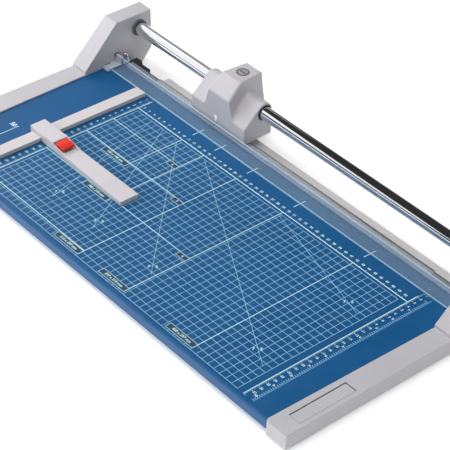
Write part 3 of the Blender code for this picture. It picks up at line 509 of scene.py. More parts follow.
# Painted highlight: a whiter, denser copy of the acrylic for the strip's front edge and the top of its guard.
EDGE_HIGHLIGHT_ACRYLIC = clear_sheet("acrylic_edge_painted_highlight", (0.55, 0.78, 0.95), 0.45)


# ---- end frames

CORNER_RADIUS = 5.0
TUBE_SEAT = 11.0
FOOT_POST = 7.5
FRAME_OUTLINE = [
    (FRONT_Y, 0.0),
    (CHAMFER_Y - 3.0, 0.0),
    (UPRIGHT_REAR_Y, CAP_TOP),
    (UPRIGHT_REAR_Y, UPRIGHT_TOP),
    (SLOPE_TOP_Y, UPRIGHT_TOP),
    (RISER_Y, BOARD_TOP + 6.0),
    (RISER_Y, CAP_TOP),
    (FRONT_Y, CAP_TOP),
]


def sided(side, near, far):
    """Two places across X on one side, in rising order."""
    return tuple(sorted((side * near, side * far)))


def lean(obj, side):
    """Slant the face that looks along the table: it opens out a little towards the rear and the top."""
    for vertex in obj.data.vertices:
        x, y, z = vertex.co / MM
        share = min(max((OUTER_X - abs(x)) / END_WIDTH, 0.0), 1.0)
        vertex.co.x += side * share * (FACE_FLARE * (y - FACE_Y) + FACE_DRAFT * (z - CAP_TOP)) * MM
    return obj


def frame_body(name, side):
    """Outer form of the moulding, with the board-side front corner rounded in plan."""
    start, end = sided(side, INNER_X, OUTER_X)
    body = prism(name, FRAME_OUTLINE, start, end, "YZ")
    plan = rounded([
        (side * INNER_X, FRONT_Y, CORNER_RADIUS),
        (side * OUTER_X, FRONT_Y, 1.2),
        (side * OUTER_X, UPRIGHT_REAR_Y + 1.0),
        (side * INNER_X, UPRIGHT_REAR_Y + 1.0),
    ], steps=8)
    combine(body, [prism(name + "_plan", plan, -1.0, UPRIGHT_TOP + 1.0, "XY")], "INTERSECT")
    return lean(soften(body, 1.8, segments=5, angle=25), side)


def hollow_frame(shell, side):
    """Trim the frame to its feet's height and hollow it from below."""
    far = 400.0
    inner = [(y, z if z > WALL + 0.1 else -2.0) for y, z in offset(FRAME_OUTLINE, WALL)]
    start, end = sided(side, INNER_X + WALL, OUTER_X - WALL)
    cavity = lean(prism("cavity", inner, start, end, "YZ"), side)
    trim = block("trim", (-far, -far, -5.0), (far, far, FOOT_HEIGHT))
    cut(shell, trim, cavity)


def open_board_side(shell, side):
    """Hole for the tube, slot for the clamp strip and its clip, and mouth for the table."""
    inside = INNER_X + WALL
    start, end = sided(side, INNER_X - 2.0, inside + 10.0)
    cut(shell, rod("tube_hole", "X", ((start + end) / 2, TUBE.y, TUBE.z), TUBE_SEAT, end - start))
    strip_low, strip_high = span("clamp_strip")
    reach = GAP + CLIP_SHEET + 1.2
    start, end = sided(side, INNER_X - 1.0, inside + 6.5)
    flat = block("slot_flat", (start, strip_low.y - 1.5, BOARD_TOP - 1.0),
                 (end, STRIP_WALL_Y + 3.6, strip_low.z + 2.0 + reach))
    upright = block("slot_upright", (start, STRIP_WALL_Y - reach, BOARD_TOP - 1.0),
                    (end, STRIP_WALL_REAR + reach, strip_high.z + reach))
    start, end = sided(side, INNER_X - 6.0, INNER_X + 8.7)
    mouth_rear = CUT_Y + (0.8 if side < 0 else 19.2)
    mouth = block("mouth", (start, FRONT_Y + WALL + 0.1, -2.0), (end, mouth_rear, BOARD_TOP + GAP))
    cut(shell, flat, upright, mouth)


def seat_tube(shell, side):
    """Solid seat behind the tube's end."""
    start, end = sided(side, TUBE_HALF + GAP, OUTER_X - 1.0)
    join(shell, rod("seat", "X", ((start + end) / 2, TUBE.y, TUBE.z), TUBE_SEAT, end - start))


def add_foot_posts(shell, side_name):
    """Posts under the cap, each with the hole that its rubber foot is pushed into."""
    length = CAP_TOP - 1.0 - FOOT_HEIGHT - GAP
    for end in ("front", "rear"):
        spot = middle(f"foot_{side_name}_{end}")
        centre = (spot.x, spot.y, (FOOT_HEIGHT + CAP_TOP - 1.0 + GAP) / 2)
        join(shell, rod("post", "Z", centre, FOOT_POST, length))
        cut(shell, rod("foot_hole", "Z", (spot.x, spot.y, FOOT_HEIGHT), 2.8, 10.0))


def sink_screws(shell, side, side_name):
    """Clearance hole and counterbore for the tube's and the rail's screws: radius, sink radius, depth."""
    sinks = {"tube_screw": (2.8, 5.4, 2.4), "rail_screw": (1.9, 3.6, 1.4)}
    for node, (radius, sink, depth) in sinks.items():
        spot = middle(f"{node}_{side_name}")
        cut(shell, rod("hole", "X", (side * OUTER_X, spot.y, spot.z), radius, 20.0, 32),
            rod("sink", "X", (side * (OUTER_X + 5.0 - depth), spot.y, spot.z), sink, 10.0, 48))


def recess_label(shell):
    """Recess for the label plate, wider at its left and rear, where the shadow line shows."""
    low, high = span("label_plate")
    cut(shell, block("recess", (low.x - 1.5, low.y - 0.4, CAP_TOP - 2.1),
                     (high.x + 0.4, high.y + 1.9, CAP_TOP + 2.0)))


def frame_shell(side):
    """End frame: hollow below, with the mouth for the table, the strip's slot and the tube's seat."""
    side_name = "left" if side < 0 else "right"
    shell = frame_body(side_name + "_frame_shell", side)
    hollow_frame(shell, side)
    open_board_side(shell, side)
    seat_tube(shell, side)
    add_foot_posts(shell, side_name)
    sink_screws(shell, side, side_name)
    if side > 0:
        recess_label(shell)
    return dress(shell, "base", "grey_plastic", f"{side_name}_end_frame")


# ---- table and its print

def table_skin():
    """Blue sheet with its rounded front skirt and hem."""
    corner_points = [
        (BOARD_HIGH.y, BOARD_LOW.z),
        (BOARD_HIGH.y, BOARD_TOP, 2.0),
        (BOARD_LOW.y, BOARD_TOP, 3.0),
        (BOARD_LOW.y, BOARD_LOW.z, 1.8),
        (BOARD_LOW.y + 9.0, BOARD_LOW.z),
    ]
    skin = rounded(corner_points, steps=14)
    back = offset(skin, BOARD_SHEET, closed=False)
    board = prism("table_skin", skin + list(reversed(back)), BOARD_LOW.x, BOARD_HIGH.x, "YZ")
    for node in ("stop_bar_screw_1", "stop_bar_screw_2", "strip_post_left", "strip_post_right"):
        spot = middle(node)
        cut(board, rod("hole", "Z", (spot.x, spot.y, BOARD_TOP), 1.9, 8.0, 32))
    return dress(board, "base", "blue_paint", "table_board")


# The print: places are measured from the stop and the cut
INK = 0.022
GRID_PEN, ANGLE_PEN, PAGE_PEN, BASE_PEN, BASE_TICK_PEN = 0.42, 0.4, 0.95, 1.2, 0.45
RULER_PEN, TICK_PEN, RIM_PEN, BAND_PEN, SIDE_PEN = 0.9, 0.5, 0.55, 2.0, 0.8
RULER_SIZE, RIGHT_SIZE, INCH_SIZE, LABEL_SIZE, ANGLE_SIZE, SIDE_SIZE = 4.9, 4.5, 4.6, 5.4, 6.4, 9.5
INCH = 25.4
GRID_PITCH = 10.0
GRID_LEFT, GRID_RIGHT = 20.0, 500.0
GRID_REAR, GRID_FRONT = -70.0, -310.0
BASELINE = -65.0
LEFT_LINE, RIGHT_LINE, INCH_LINE = 15.0, 510.0, 526.0
PAGE_SIZES = (105.0, 148.0, 210.0, 297.0, 420.0)
PAGE_LINES = tuple(zip(PAGE_SIZES, (-158.0, -220.0, -307.0, -307.0, -307.0)))
PAGE_CORNERS = tuple((wide, -deep) for wide, deep in zip(PAGE_SIZES[1:4], PAGE_SIZES[:3]))
LONG_LABEL, SHORT_LABEL = (47.0, 8.6), (17.0, 7.4)
LONG_TEXTS = ("105 x 148 mm", "148 x 210 mm", "210 x 297 mm", "297 x 210 mm", "420 x 297 mm")
SHORT_TEXTS = ("6", "5", "4")
ANGLE_MARKS = ((99.5, -251.8), (175.4, -249.9), (282.4, -252.8), (465.6, -251.6), (468.6, -117.9))
ANGLE_TURN = math.radians(49.0)
ANGLE_LINES = (
    ((50.0, -73.0), (102.0, -265.0)),
    ((73.0, -70.0), (182.0, -265.0)),
    ((104.0, -73.0), (292.0, -263.0)),
    ((156.0, -71.0), (490.0, -265.0)),
    ((299.0, -73.0), (489.0, -124.0)),
)


def hand_over(name, work, ink):
    """Give a finished printed layer to the table."""
    obj = linked(name, work)
    obj.data.materials.append(ink)
    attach(obj, "base")


def add_stroke(work, start, end, width, lift):
    """Add a printed line between two places measured from the stop and the cut."""
    a = Vector(start) + Vector((STOP_X, CUT_Y))
    b = Vector(end) + Vector((STOP_X, CUT_Y))
    side = (b - a).normalized().orthogonal() * width / 2
    outline = [tuple(a - side), tuple(b - side), tuple(b + side), tuple(a + side)]
    add_prism(work, outline, BOARD_TOP + lift, BOARD_TOP + lift + INK, "XY")


def spaced(start, end, pitch):
    """Places from start to end, both counted."""
    count = round(abs(end - start) / pitch)
    return [start + (end - start) * i / count for i in range(count + 1)]


def print_strokes(name, ink, strokes, lift=INK):
    """Printed layer of straight lines, each given as its start, end and width."""
    work = bmesh.new()
    for start, end, width in strokes:
        add_stroke(work, start, end, width, lift)
    hand_over(name, work, ink)


def print_grid():
    """Pale centimetre grid."""
    columns = spaced(GRID_LEFT, GRID_RIGHT, GRID_PITCH)
    rows = spaced(GRID_REAR, GRID_FRONT, GRID_PITCH)
    strokes = [((x, GRID_REAR), (x, GRID_FRONT), GRID_PEN) for x in columns]
    strokes += [((GRID_LEFT, y), (GRID_RIGHT, y), GRID_PEN) for y in rows]
    print_strokes("print_fine_grid", PALE_INK, strokes, 0.0)


def print_angles():
    """Thin lines for cutting at fixed angles."""
    print_strokes("print_angle_lines", PALE_INK, [(start, end, ANGLE_PEN) for start, end in ANGLE_LINES])


def print_page_lines():
    """White page-size lines, the base line and the two rulers' lines."""
    strokes = [
        ((LEFT_LINE, BASELINE), (RIGHT_LINE, BASELINE), BASE_PEN),
        ((LEFT_LINE, -42.0), (LEFT_LINE, -309.0), RULER_PEN),
        ((RIGHT_LINE, -30.0), (RIGHT_LINE, -310.0), RULER_PEN),
    ]
    strokes += [((x, BASELINE), (x, front), PAGE_PEN) for x, front in PAGE_LINES]
    strokes += [((LEFT_LINE, y), (right, y), PAGE_PEN) for right, y in PAGE_CORNERS + ((210.0, -297.0),)]
    strokes += [((x, -29.0), (x, -48.0), RULER_PEN) for x in PAGE_SIZES + (RIGHT_LINE,)]
    print_strokes("print_page_lines", WHITE_INK, strokes)


def print_side_lines():
    """Pale band along the inch scale, and the reference line on the bare table left of the stop."""
    print_strokes("print_inch_band", BAND_INK, [((INCH_LINE, -42.0), (INCH_LINE, -310.0), BAND_PEN)])
    print_strokes("print_side_line", WHITE_INK, [((-45.2, -210.0), (-45.2, -300.0), SIDE_PEN)])


def print_labels():
    """Dark label boxes with a white rim, at the ends of the page lines."""
    fills, rims = [], []
    boxes = [(right, low, LONG_LABEL) for right, low in PAGE_LINES]
    boxes += [(right, high - SHORT_LABEL[1], SHORT_LABEL) for right, high in PAGE_CORNERS]
    for right, low, (width, height) in boxes:
        left, high = right - width, low + height
        fills.append(((left, (low + high) / 2), (right, (low + high) / 2), height))
        rims += [((left, low), (right, low), RIM_PEN), ((left, high), (right, high), RIM_PEN),
                 ((left, low), (left, high), RIM_PEN), ((right, low), (right, high), RIM_PEN)]
    print_strokes("print_label_fills", DARK_INK, fills, 2 * INK)
    print_strokes("print_label_rims", WHITE_INK, rims, 3 * INK)


def ticks(x, places, every, short, long):
    """Ticks beside a ruler's line, one in so many of them long; negative lengths point left."""
    return [((x, y), (x + (short if i % every else long), y), TICK_PEN) for i, y in enumerate(places)]


def print_ticks():
    """Ticks of the two millimetre rulers, the inch scale and the base line."""
    eighth = INCH / 8
    strokes = ticks(LEFT_LINE - 0.6, spaced(-45.0, -309.0, 2.0), 5, -1.6, -3.2)
    strokes += ticks(RIGHT_LINE + 0.4, spaced(-40.0, -310.0, 2.0), 5, 1.8, 3.4)
    strokes += ticks(INCH_LINE - 1.0, spaced(-48.0, -48.0 - 82 * eighth, eighth), 8, -2.2, -4.2)
    for x in spaced(GRID_LEFT, GRID_RIGHT, GRID_PITCH):
        strokes.append(((x, BASELINE + 0.5), (x, BASELINE + 2.6), BASE_TICK_PEN))
    print_strokes("print_ruler_ticks", WHITE_INK, strokes)


def glyphs(text, cache):
    """Mesh of a short number, centred on its own origin, one unit tall."""
    if text not in cache:
        curve = bpy.data.curves.new("glyph", "FONT")
        curve.body = text
        curve.align_x = "CENTER"
        curve.align_y = "CENTER"
        curve.extrude = 0.5
        curve.offset = 0.02
        curve.resolution_u = 3
        cache[text] = curve_mesh(curve)
    return cache[text]


def scale_numbers():
    """Numbers along the base line, the two centimetre rulers and the inch scale."""
    entries = [(str(n), (n * 10.0, -58.2), RULER_SIZE, 0.0) for n in range(2, 51)]
    entries += [(str(n), (6.6, -35.0 - 10.0 * n), RULER_SIZE, 0.0) for n in range(1, 28)]
    entries += [(str(n), (516.6, -30.0 - 10.0 * n), RIGHT_SIZE, 0.0) for n in range(1, 28)]
    entries += [(str(n), (520.8, -48.0 - INCH * n), INCH_SIZE, 0.0) for n in range(1, 11)]
    return entries


def label_texts():
    """Page sizes in the long label boxes and their numbers in the short ones."""
    entries = []
    for (right, low), text in zip(PAGE_LINES, LONG_TEXTS):
        entries.append((text, (right - 23.5, low + 4.3), LABEL_SIZE, 0.0))
    for (right, high), text in zip(PAGE_CORNERS, SHORT_TEXTS):
        entries.append((text, (right - 8.5, high - 3.7), LABEL_SIZE, 0.0))
    entries.append(("50", (-52.5, -213.5), SIDE_SIZE, 0.0))
    return entries


def angle_digits():
    """Digit either side of each angle line, turned to stand across it."""
    entries = []
    for x, y in ANGLE_MARKS:
        entries.append(("7", (x - 3.0, y - 3.4), ANGLE_SIZE, ANGLE_TURN))
        entries.append(("5", (x + 3.0, y + 3.4), ANGLE_SIZE, ANGLE_TURN))
    return entries


def print_numbers():
    """Every number, in one printed layer."""
    work = bmesh.new()
    cache = {}
    for text, (x, y), size, turn in scale_numbers() + label_texts() + angle_digits():
        spot = Matrix.Translation(Vector((STOP_X + x, CUT_Y + y, BOARD_TOP + 3.5 * INK)) * MM)
        scale = Matrix.Diagonal((size * MM, size * MM, INK * MM, 1.0))
        copy = glyphs(text, cache).copy()
        copy.transform(spot @ Matrix.Rotation(turn, 4, "Z") @ scale)
        work.from_mesh(copy)
        bpy.data.meshes.remove(copy)
    bmesh.ops.remove_doubles(work, verts=work.verts, dist=0.000002)
    hand_over("print_numbers", work, WHITE_INK)


# ---- tube and its fittings

def tube_and_rings():
    """Chromed tube with chamfered ends, and the dark ring where it enters each upright."""
    bore = TUBE_RADIUS - 1.5
    edge = TUBE_RADIUS - 0.5
    profile = [(edge, TUBE_HALF), (TUBE_RADIUS, TUBE_HALF - 0.5), (TUBE_RADIUS, -TUBE_HALF + 0.5),
               (edge, -TUBE_HALF), (bore, -TUBE_HALF), (bore, TUBE_HALF), (edge, TUBE_HALF)]
    tube = turned("polished_tube", "X", (0.0, TUBE.y, TUBE.z), profile, 160)
    dress(tube, "base", "chrome", "guide_tube")
    for side, side_name in ((-1, "left"), (1, "right")):
        section = [(11.4, 1.8, 0.5), (11.4, 0.0), (10.7, 0.0), (10.7, -4.5), (9.15, -4.5), (9.15, 1.8, 0.4)]
        seat = (side * (INNER_X + 4.9), TUBE.y, TUBE.z)
        bumper = turned_ring(f"bumper_ring_{side_name}", "X" if side < 0 else "-X", seat, section, steps=5)
        dress(bumper, "base", "dark_rubber", f"tube_bumper_{side_name}")


def pan_screw(name, node, axis, body, radius, height):
    """Pan-head screw with a hexagon socket, over the CAD screw."""
    low, high = span(node)
    centre = (low + high) / 2
    reach = (high - low) / 2
    direction = Vector(AXES[axis].to_3x3() @ Vector((0, 0, 1)))
    seat = centre + Vector([d * r for d, r in zip(direction, reach)]) - direction * height
    length = 2 * max(abs(d * r) for d, r in zip(direction, reach)) - height
    shank = radius * 0.45
    dome = [(radius * math.sin(a), height * (0.45 + 0.55 * math.cos(a)))
            for a in [math.pi / 2 * i / 8 for i in range(9)]]
    profile = [(0.0, height)] + dome[1:] + [(radius, 0.0), (shank, 0.0), (shank, -length), (0.0, -length)]
    obj = turned(name, axis, seat, profile, 48)
    flat, floor = radius * 0.42, height * 0.35
    hexagon = [(0, height + 1), (flat, height + 1), (flat, floor), (0, floor)]
    socket = turned("socket", axis, seat, hexagon, 6)
    cut(obj, socket)
    return dress(obj, body, "galvanised_steel", node)


def screws():
    """Every screw whose head can be seen, and those under the table."""
    for side, axis in (("left", "-X"), ("right", "X")):
        pan_screw(f"tube_bolt_{side}", f"tube_screw_{side}", axis, "base", 5.0, 1.9)
        pan_screw(f"rail_bolt_{side}", f"rail_screw_{side}", axis, "base", 3.2, 0.9)
    for i in (1, 2, 3):
        pan_screw(f"knife_bolt_{i}", f"knife_screw_{i}", "-Z", "base", 3.3, 2.6)
    for i in (1, 2):
        pan_screw(f"stop_bolt_{i}", f"stop_bar_screw_{i}", "-Z", "base", 3.4, 2.2)
        pan_screw(f"carrier_bolt_{i}", f"carrier_screw_{i}", "-Z", "head", 2.9, 1.8)


def feet():
    """Turned rubber feet with a rounded rim and a moulded hollow."""
    low, high = span("foot_left_front")
    radius = (high.x - low.x) / 2
    profile = rounded([
        (0.0, 7.0), (2.0, 7.0), (2.5, 6.0), (2.5, FOOT_HEIGHT), (radius, FOOT_HEIGHT, 0.3),
        (radius - 0.4, 0.0, 1.0), (3.4, 0.0, 0.3), (2.8, 1.0, 0.3), (0.0, 1.0),
    ], steps=4)
    for side in ("left", "right"):
        for end in ("front", "rear"):
            node = f"foot_{side}_{end}"
            spot = middle(node)
            foot = turned(f"rubber_foot_{side}_{end}", "Z", (spot.x, spot.y, 0.0), profile, 64)
            dress(foot, "base", "dark_rubber", node)


# ---- clamp strip

def strip_extrusion():
    """Clear extrusion: chamfered flange, upright guard, and ribs along its rear flange."""
    low, high = span("clamp_strip")
    wall, back = STRIP_WALL_Y, STRIP_WALL_REAR
    top = low.z + 2.0
    ribs = []
    for i in range(4):
        y = back + 2.2 + i * 3.0
        ribs += [(y + 0.7, top - 0.2), (y + 0.35, top), (y - 0.35, top), (y - 0.7, top - 0.2)]
    ribs = [(y, z) for y, z in sorted(ribs, key=lambda p: -p[0])]
    outline = [(low.y, low.z), (high.y, low.z), (high.y, top - 0.2)] + ribs + [
        (back, top - 0.2, 0.9),
        (back, high.z, 0.7),
        (wall, high.z, 0.7),
        (wall, top, 1.6),
        (low.y + 0.9, top),
        (low.y, top - 0.9),
    ]
    strip = prism("strip_extrusion", rounded(outline, steps=5), low.x, high.x, "YZ")
    for side in (-1, 1):
        start, end = sided(side, INNER_X - 11.9, high.x + 5.0)
        cut(strip, block("notch", (start, back + 0.01, low.z - 3.0), (end, high.y + 5.0, top + 3.0)))
    dress(strip, "strip", "clear_plastic", "clamp_strip", sharp=40)
    strip.data.materials.append(FLANGE_ACRYLIC)
    strip.data.materials.append(EDGE_HIGHLIGHT_ACRYLIC)
    # The flange and the underside get a thinner veil. The front edge and the guard's top get the painted
    # highlight copy.
    for face in strip.data.polygons:
        centre = face.center / MM
        front_highlight = centre.y < low.y + 1.0 and face.normal.y < -0.2
        top_highlight = centre.z > high.z - 0.75
        if front_highlight or top_highlight:
            face.material_index = 2
        elif centre.y < wall or face.normal.z < -0.5:
            face.material_index = 1


def strip_clip(side):
    """Frosted end clip, bridging the strip and riding on its post."""
    low, high = span(f"strip_clip_{side}")
    strip_low, strip_high = span("clamp_strip")
    wall, back = STRIP_WALL_Y, STRIP_WALL_REAR
    flange_top = strip_low.z + 2.0
    reach = GAP + CLIP_SHEET
    top = flange_top + reach
    ear = strip_low.z + 2.2
    post = middle(f"strip_post_{side}")
    outline = rounded([
        (low.y, low.z, 0.5),
        (strip_low.y - GAP, low.z),
        (strip_low.y - GAP, flange_top + GAP),
        (wall - GAP, flange_top + GAP),
        (wall - GAP, strip_high.z + GAP),
        (back + GAP, strip_high.z + GAP),
        (back + GAP, ear),
        (high.y, ear, 0.5),
        (high.y, flange_top + 2.2, 0.6),
        (back + reach, flange_top + 2.2, 1.0),
        (back + reach, high.z, 0.7),
        (wall - reach, high.z, 0.7),
        (wall - reach, top, 1.0),
        (low.y, top, 0.8),
    ], steps=5)
    clip = prism(f"frosted_clip_{side}", outline, low.x, high.x, "YZ")
    soften(clip, 0.3, segments=3, angle=50)
    cut(clip, rod("hole", "Z", (post.x, post.y, top), 2.5, 12.0))
    dress(clip, "strip", "frosted_plastic", f"strip_clip_{side}")


def strip_posts():
    """Turned posts with a rounded knob on top."""
    for side in ("left", "right"):
        node = f"strip_post_{side}"
        low, high = span(node)
        spot = (low + high) / 2
        knob = high.z - BOARD_TOP
        profile = rounded([
            (0.0, knob), (3.3, knob, 1.4), (3.3, 9.0, 0.4), (2.1, 9.0), (2.1, 1.0, 0.2),
            (3.9, 1.0, 0.3), (3.9, GAP, 0.1), (1.6, GAP), (1.6, -3.6, 0.3), (0.0, -3.6),
        ], steps=5)
        post = turned(f"turned_post_{side}", "Z", (spot.x, spot.y, BOARD_TOP), profile, 64)
        dress(post, "base", "bright_steel", node)


def coil(centre, radius, wire, start, rise, turns):
    """Round wire wound upwards about a vertical axis."""
    curve = bpy.data.curves.new("coil", "CURVE")
    curve.dimensions = "3D"
    curve.bevel_depth = wire * MM
    curve.bevel_resolution = 4
    curve.use_fill_caps = True
    spline = curve.splines.new("POLY")
    count = 40 * turns
    spline.points.add(count)
    for step in range(count + 1):
        angle = 2 * math.pi * turns * step / count
        spot = Vector((centre.x + math.cos(angle) * radius, centre.y + math.sin(angle) * radius,
                       start + rise * step / count))
        spline.points[step].co = (*(spot * MM), 1.0)
    return curve_mesh(curve)


def strip_springs():
    """Coil springs around the posts."""
    wire = 0.25
    for side in ("left", "right"):
        node = f"strip_spring_{side}"
        low, high = span(node)
        spot = (low + high) / 2
        mesh = coil(spot, (high.x - low.x) / 2 - wire, wire, low.z + wire, high.z - low.z - 2 * wire, 2)
        spring = bpy.data.objects.new(f"coil_spring_{side}", mesh)
        bpy.context.scene.collection.objects.link(spring)
        dress(spring, "base", "bright_steel", node, sharp=60)
        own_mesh(spring)


# ---- cutting head

def polygon_field(points, across, up):
    """Signed distance in the plane of an outline, negative inside."""
    best = np.full(across.shape, np.inf)
    inside = np.zeros(across.shape, bool)
    for (ax, ay), (bx, by) in zip(points, points[1:] + points[:1]):
        ex, ey = bx - ax, by - ay
        wx, wy = across - ax, up - ay
        share = np.clip((wx * ex + wy * ey) / (ex * ex + ey * ey), 0, 1)
        best = np.minimum(best, (wx - ex * share) ** 2 + (wy - ey * share) ** 2)
        crossing = (ay <= up) != (by <= up)
        if ey:
            inside ^= crossing & (across < ax + (up - ay) * ex / ey)
    return np.where(inside, -1, 1) * np.sqrt(best)


def round_meet(a, b, radius):
    """Intersection of two fields with a rounded outer edge."""
    arc = np.hypot(np.maximum(a + radius, 0), np.maximum(b + radius, 0))
    return np.minimum(-radius, np.maximum(a, b)) + arc


def round_blend(a, b, radius):
    """Union of two fields with a filleted inner corner."""
    arc = np.hypot(np.maximum(radius - a, 0), np.maximum(radius - b, 0))
    return np.maximum(radius, np.minimum(a, b)) - arc


def box_field(x, y, z, low, high):
    """Signed distance to a box."""
    gaps = [np.abs(v - (a + b) / 2) - (b - a) / 2 for v, a, b in zip((x, y, z), low, high)]
    return np.maximum(np.maximum(gaps[0], gaps[1]), gaps[2])


def wing_points():
    """Section of the long body, run on past its front and bottom, which are cut flat later."""
    reach = Vector((TUBE.y - HEAD_FRONT_Y, TUBE.z - SHOULDER_Z))
    slope = math.atan2(reach.y, reach.x) + math.asin(WING_RADIUS / reach.length)
    past = 20.0
    rise = SHOULDER_Z - past * math.tan(slope)
    arc = []
    for step in range(17):
        angle = (slope + math.pi / 2) * step / 16
        arc.append((TUBE.y + WING_RADIUS * math.cos(angle), TUBE.z + WING_RADIUS * math.sin(angle)))
    floor = HEAD_LOW.z - 10.0
    return [(TUBE.y + WING_RADIUS, floor)] + arc + [(HEAD_FRONT_Y - past, rise), (HEAD_FRONT_Y - past, floor)]


def hump_points(radius):
    """Side view of the grip hump, drawn inside its face by the edge radius."""
    top, past = HEAD_HIGH.z, 12.0
    slope = math.atan2(18.5, 21.0)
    outline = [
        (HEAD_FRONT_Y - past, HEAD_LOW.z - 10.0),
        (HEAD_HIGH.y, HEAD_LOW.z - 10.0),
        (HEAD_HIGH.y, top),
        (CUT_Y + 6.0, top),
        (HEAD_FRONT_Y - past, top - 18.5 - past * math.tan(slope)),
    ]
    return offset(outline, radius)


def head_field(x, y, z):
    """Outer form of the cutting head, and its hollow, as signed distances."""
    side = np.abs(x - HEAD.x)
    flat_y, flat_z = y[0], z[0]
    wing = polygon_field(wing_points(), flat_y, flat_z)[None]
    wing = round_meet(np.broadcast_to(wing, x.shape), side - HEAD_HALF, END_EDGE)
    hump = polygon_field(hump_points(HUMP_EDGE), flat_y, flat_z)[None] - HUMP_EDGE
    drop = np.maximum(HEAD_HIGH.z - z, 0.0)
    behind = np.maximum(y - CUT_Y - 8.0, 0.0)
    half = HUMP_HALF + HUMP_DRAFT * drop + HUMP_FLARE * drop ** 2 - HUMP_TAPER * behind
    flank = (side - half) * 0.97
    hump = round_meet(np.broadcast_to(hump, x.shape), flank, FLANK_EDGE)
    body = round_blend(wing, hump, HUMP_FILLET)
    outer = round_meet(body, HEAD_FRONT_Y - y, FRONT_EDGE)
    hollow = np.maximum(np.maximum(body, HEAD_FRONT_Y - y) + HEAD_WALL, side - HEAD_HALF + END_WALL)
    return outer, hollow


def inner_works(x, y, z):
    """Screw bosses and roller brackets inside the head."""
    side = np.abs(x - HEAD.x)
    boss = np.maximum(np.hypot(side - 10.0, y - HEAD_HIGH.y + 6.0) - 4.2, 31.0 - z)
    roller_low, roller_high = span("press_roller_left")
    roller = (roller_low + roller_high) / 2
    reach = HEAD.x - roller.x
    floor = HEAD_LOW.z + 0.3
    near, far = reach - 4.5, reach + 4.5
    rib = box_field(side, y, z, (near, roller_high.y + 0.6, floor), (far, roller_high.y + 2.6, 60.0))
    lug = box_field(side, y, z, (near, HEAD_FRONT_Y + 1.0, floor), (far, roller_low.y - 0.4, roller.z + 5.0))
    return np.minimum(boss, np.minimum(rib, lug))


def polygonised(name, field, low, cell, band):
    """Object whose surface is where a field of signed distances is zero."""
    grid = openvdb.FloatGrid(background=band)
    grid.copyFromArray(np.clip(field, -band, band).astype(np.float32))
    points, triangles, quads = grid.convertToPolygons(isovalue=0.0, adaptivity=0.0)
    mesh = bpy.data.meshes.new(name)
    places = (points * cell + np.array(low)) * MM
    mesh.from_pydata(places.tolist(), [], triangles.tolist() + quads.tolist())
    obj = bpy.data.objects.new(name, mesh)
    bpy.context.scene.collection.objects.link(obj)
    return obj


def head_shell():
    """Moulded housing, polygonised from its distance field."""
    cell = 0.6
    margin = 3.0
    low = HEAD_LOW - Vector((margin, margin, margin))
    high = HEAD_HIGH + Vector((margin, margin, margin))
    ranges = [np.arange(a, b, cell) for a, b in zip(low, high)]
    x, y, z = np.meshgrid(*ranges, indexing="ij")
    outer, hollow = head_field(x, y, z)
    solid = np.maximum(outer, -hollow)
    solid = np.maximum(np.minimum(solid, inner_works(x, y, z)), outer)
    solid = np.maximum(solid, HEAD_BORE - np.hypot(y - TUBE.y, z - TUBE.z))
    solid = np.maximum(solid, HEAD_LOW.z - z)
    shell = polygonised("head_shell", solid, low, cell, margin)
    thin = shell.modifiers.new("thin", "DECIMATE")
    thin.decimate_type = "DISSOLVE"
    thin.angle_limit = math.radians(0.6)
    baked(shell)
    dress(shell, "head", "head_plastic", "head_housing", sharp=50)


def head_badge():
    """Blank badge with its dark ring and bar."""
    low, high = span("head_badge")
    spot = (low + high) / 2
    radius = (high.x - low.x) / 2
    base = high.z - 0.45
    disc = radius - 1.8
    profile = rounded([(0.0, 0.2), (radius - 2.1, 0.2, 0.2), (disc, 0.0), (disc, -0.6), (0.0, -0.6)], steps=4)
    plate = turned("badge_disc", "Z", (spot.x, spot.y, base), profile, 96)
    dress(plate, "head", "head_plastic", "head_badge", finish=BADGE_GREY)
    inner = radius - 1.6
    section = [(radius, 0.45, 0.2), (radius, -0.6), (inner, -0.6), (inner, 0.45, 0.2)]
    rim = turned_ring("badge_ring", "Z", (spot.x, spot.y, base), section)
    dress(rim, "head", "black_plastic", finish=BADGE_DARK)
    bar = block("badge_bar", (spot.x - 5.0, spot.y - 1.0, base - 0.5),
                (spot.x + 5.0, spot.y + 1.0, base + 0.4))
    soften(bar, 0.15, segments=2)
    dress(bar, "head", "black_plastic", finish=BADGE_DARK)


def cut_pointer():
    """White pointer let into the head's front."""
    low, high = span("cut_pointer")
    tip = [((low.x + high.x) / 2, low.z, 0.3), (high.x, high.z, 0.4), (low.x, high.z, 0.4)]
    pointer = prism("pointer_tab", rounded(tip, steps=4), low.y - 0.35, high.y, "XZ")
    soften(pointer, 0.12, segments=2)
    dress(pointer, "head", "white_plastic", "cut_pointer")


def tube_bushes():
    """Bushes in the head's two ends."""
    for side in ("left", "right"):
        low, high = span(f"tube_bush_{side}")
        half = (high.x - low.x) / 2
        seat = ((low.x + high.x) / 2, TUBE.y, TUBE.z)
        section = [(10.6, half, 0.3), (10.6, -half, 0.3), (9.1, -half, 0.4), (9.1, half, 0.4)]
        bush = turned_ring(f"bush_ring_{side}", "X", seat, section)
        dress(bush, "head", "black_plastic", f"tube_bush_{side}")


def blade_and_hub():
    """Ground blade and its hub."""
    low, high = span("circular_blade")
    radius = (high.z - low.z) / 2
    centre = (BLADE.x, low.y, BLADE.z)
    profile = [(4.1, 0.0), (4.1, 1.0), (radius - 3.4, 1.0), (radius - 3.0, 0.92),
               (radius, 0.12), (radius, 0.0), (4.1, 0.0)]
    blade = turned("ground_blade", "Y", centre, profile, 128)
    dress(blade, "blade", "bright_steel", "circular_blade", sharp=12)
    section = [(3.8, 1.4), (3.8, -GAP), (8.5, -GAP, 0.1), (8.5, -3.9, 1.0), (3.1, -3.9, 0.3), (3.1, 1.4)]
    hub = turned_ring("turned_hub", "Y", centre, section, 64, steps=5)
    dress(hub, "blade", "black_plastic", "blade_hub")


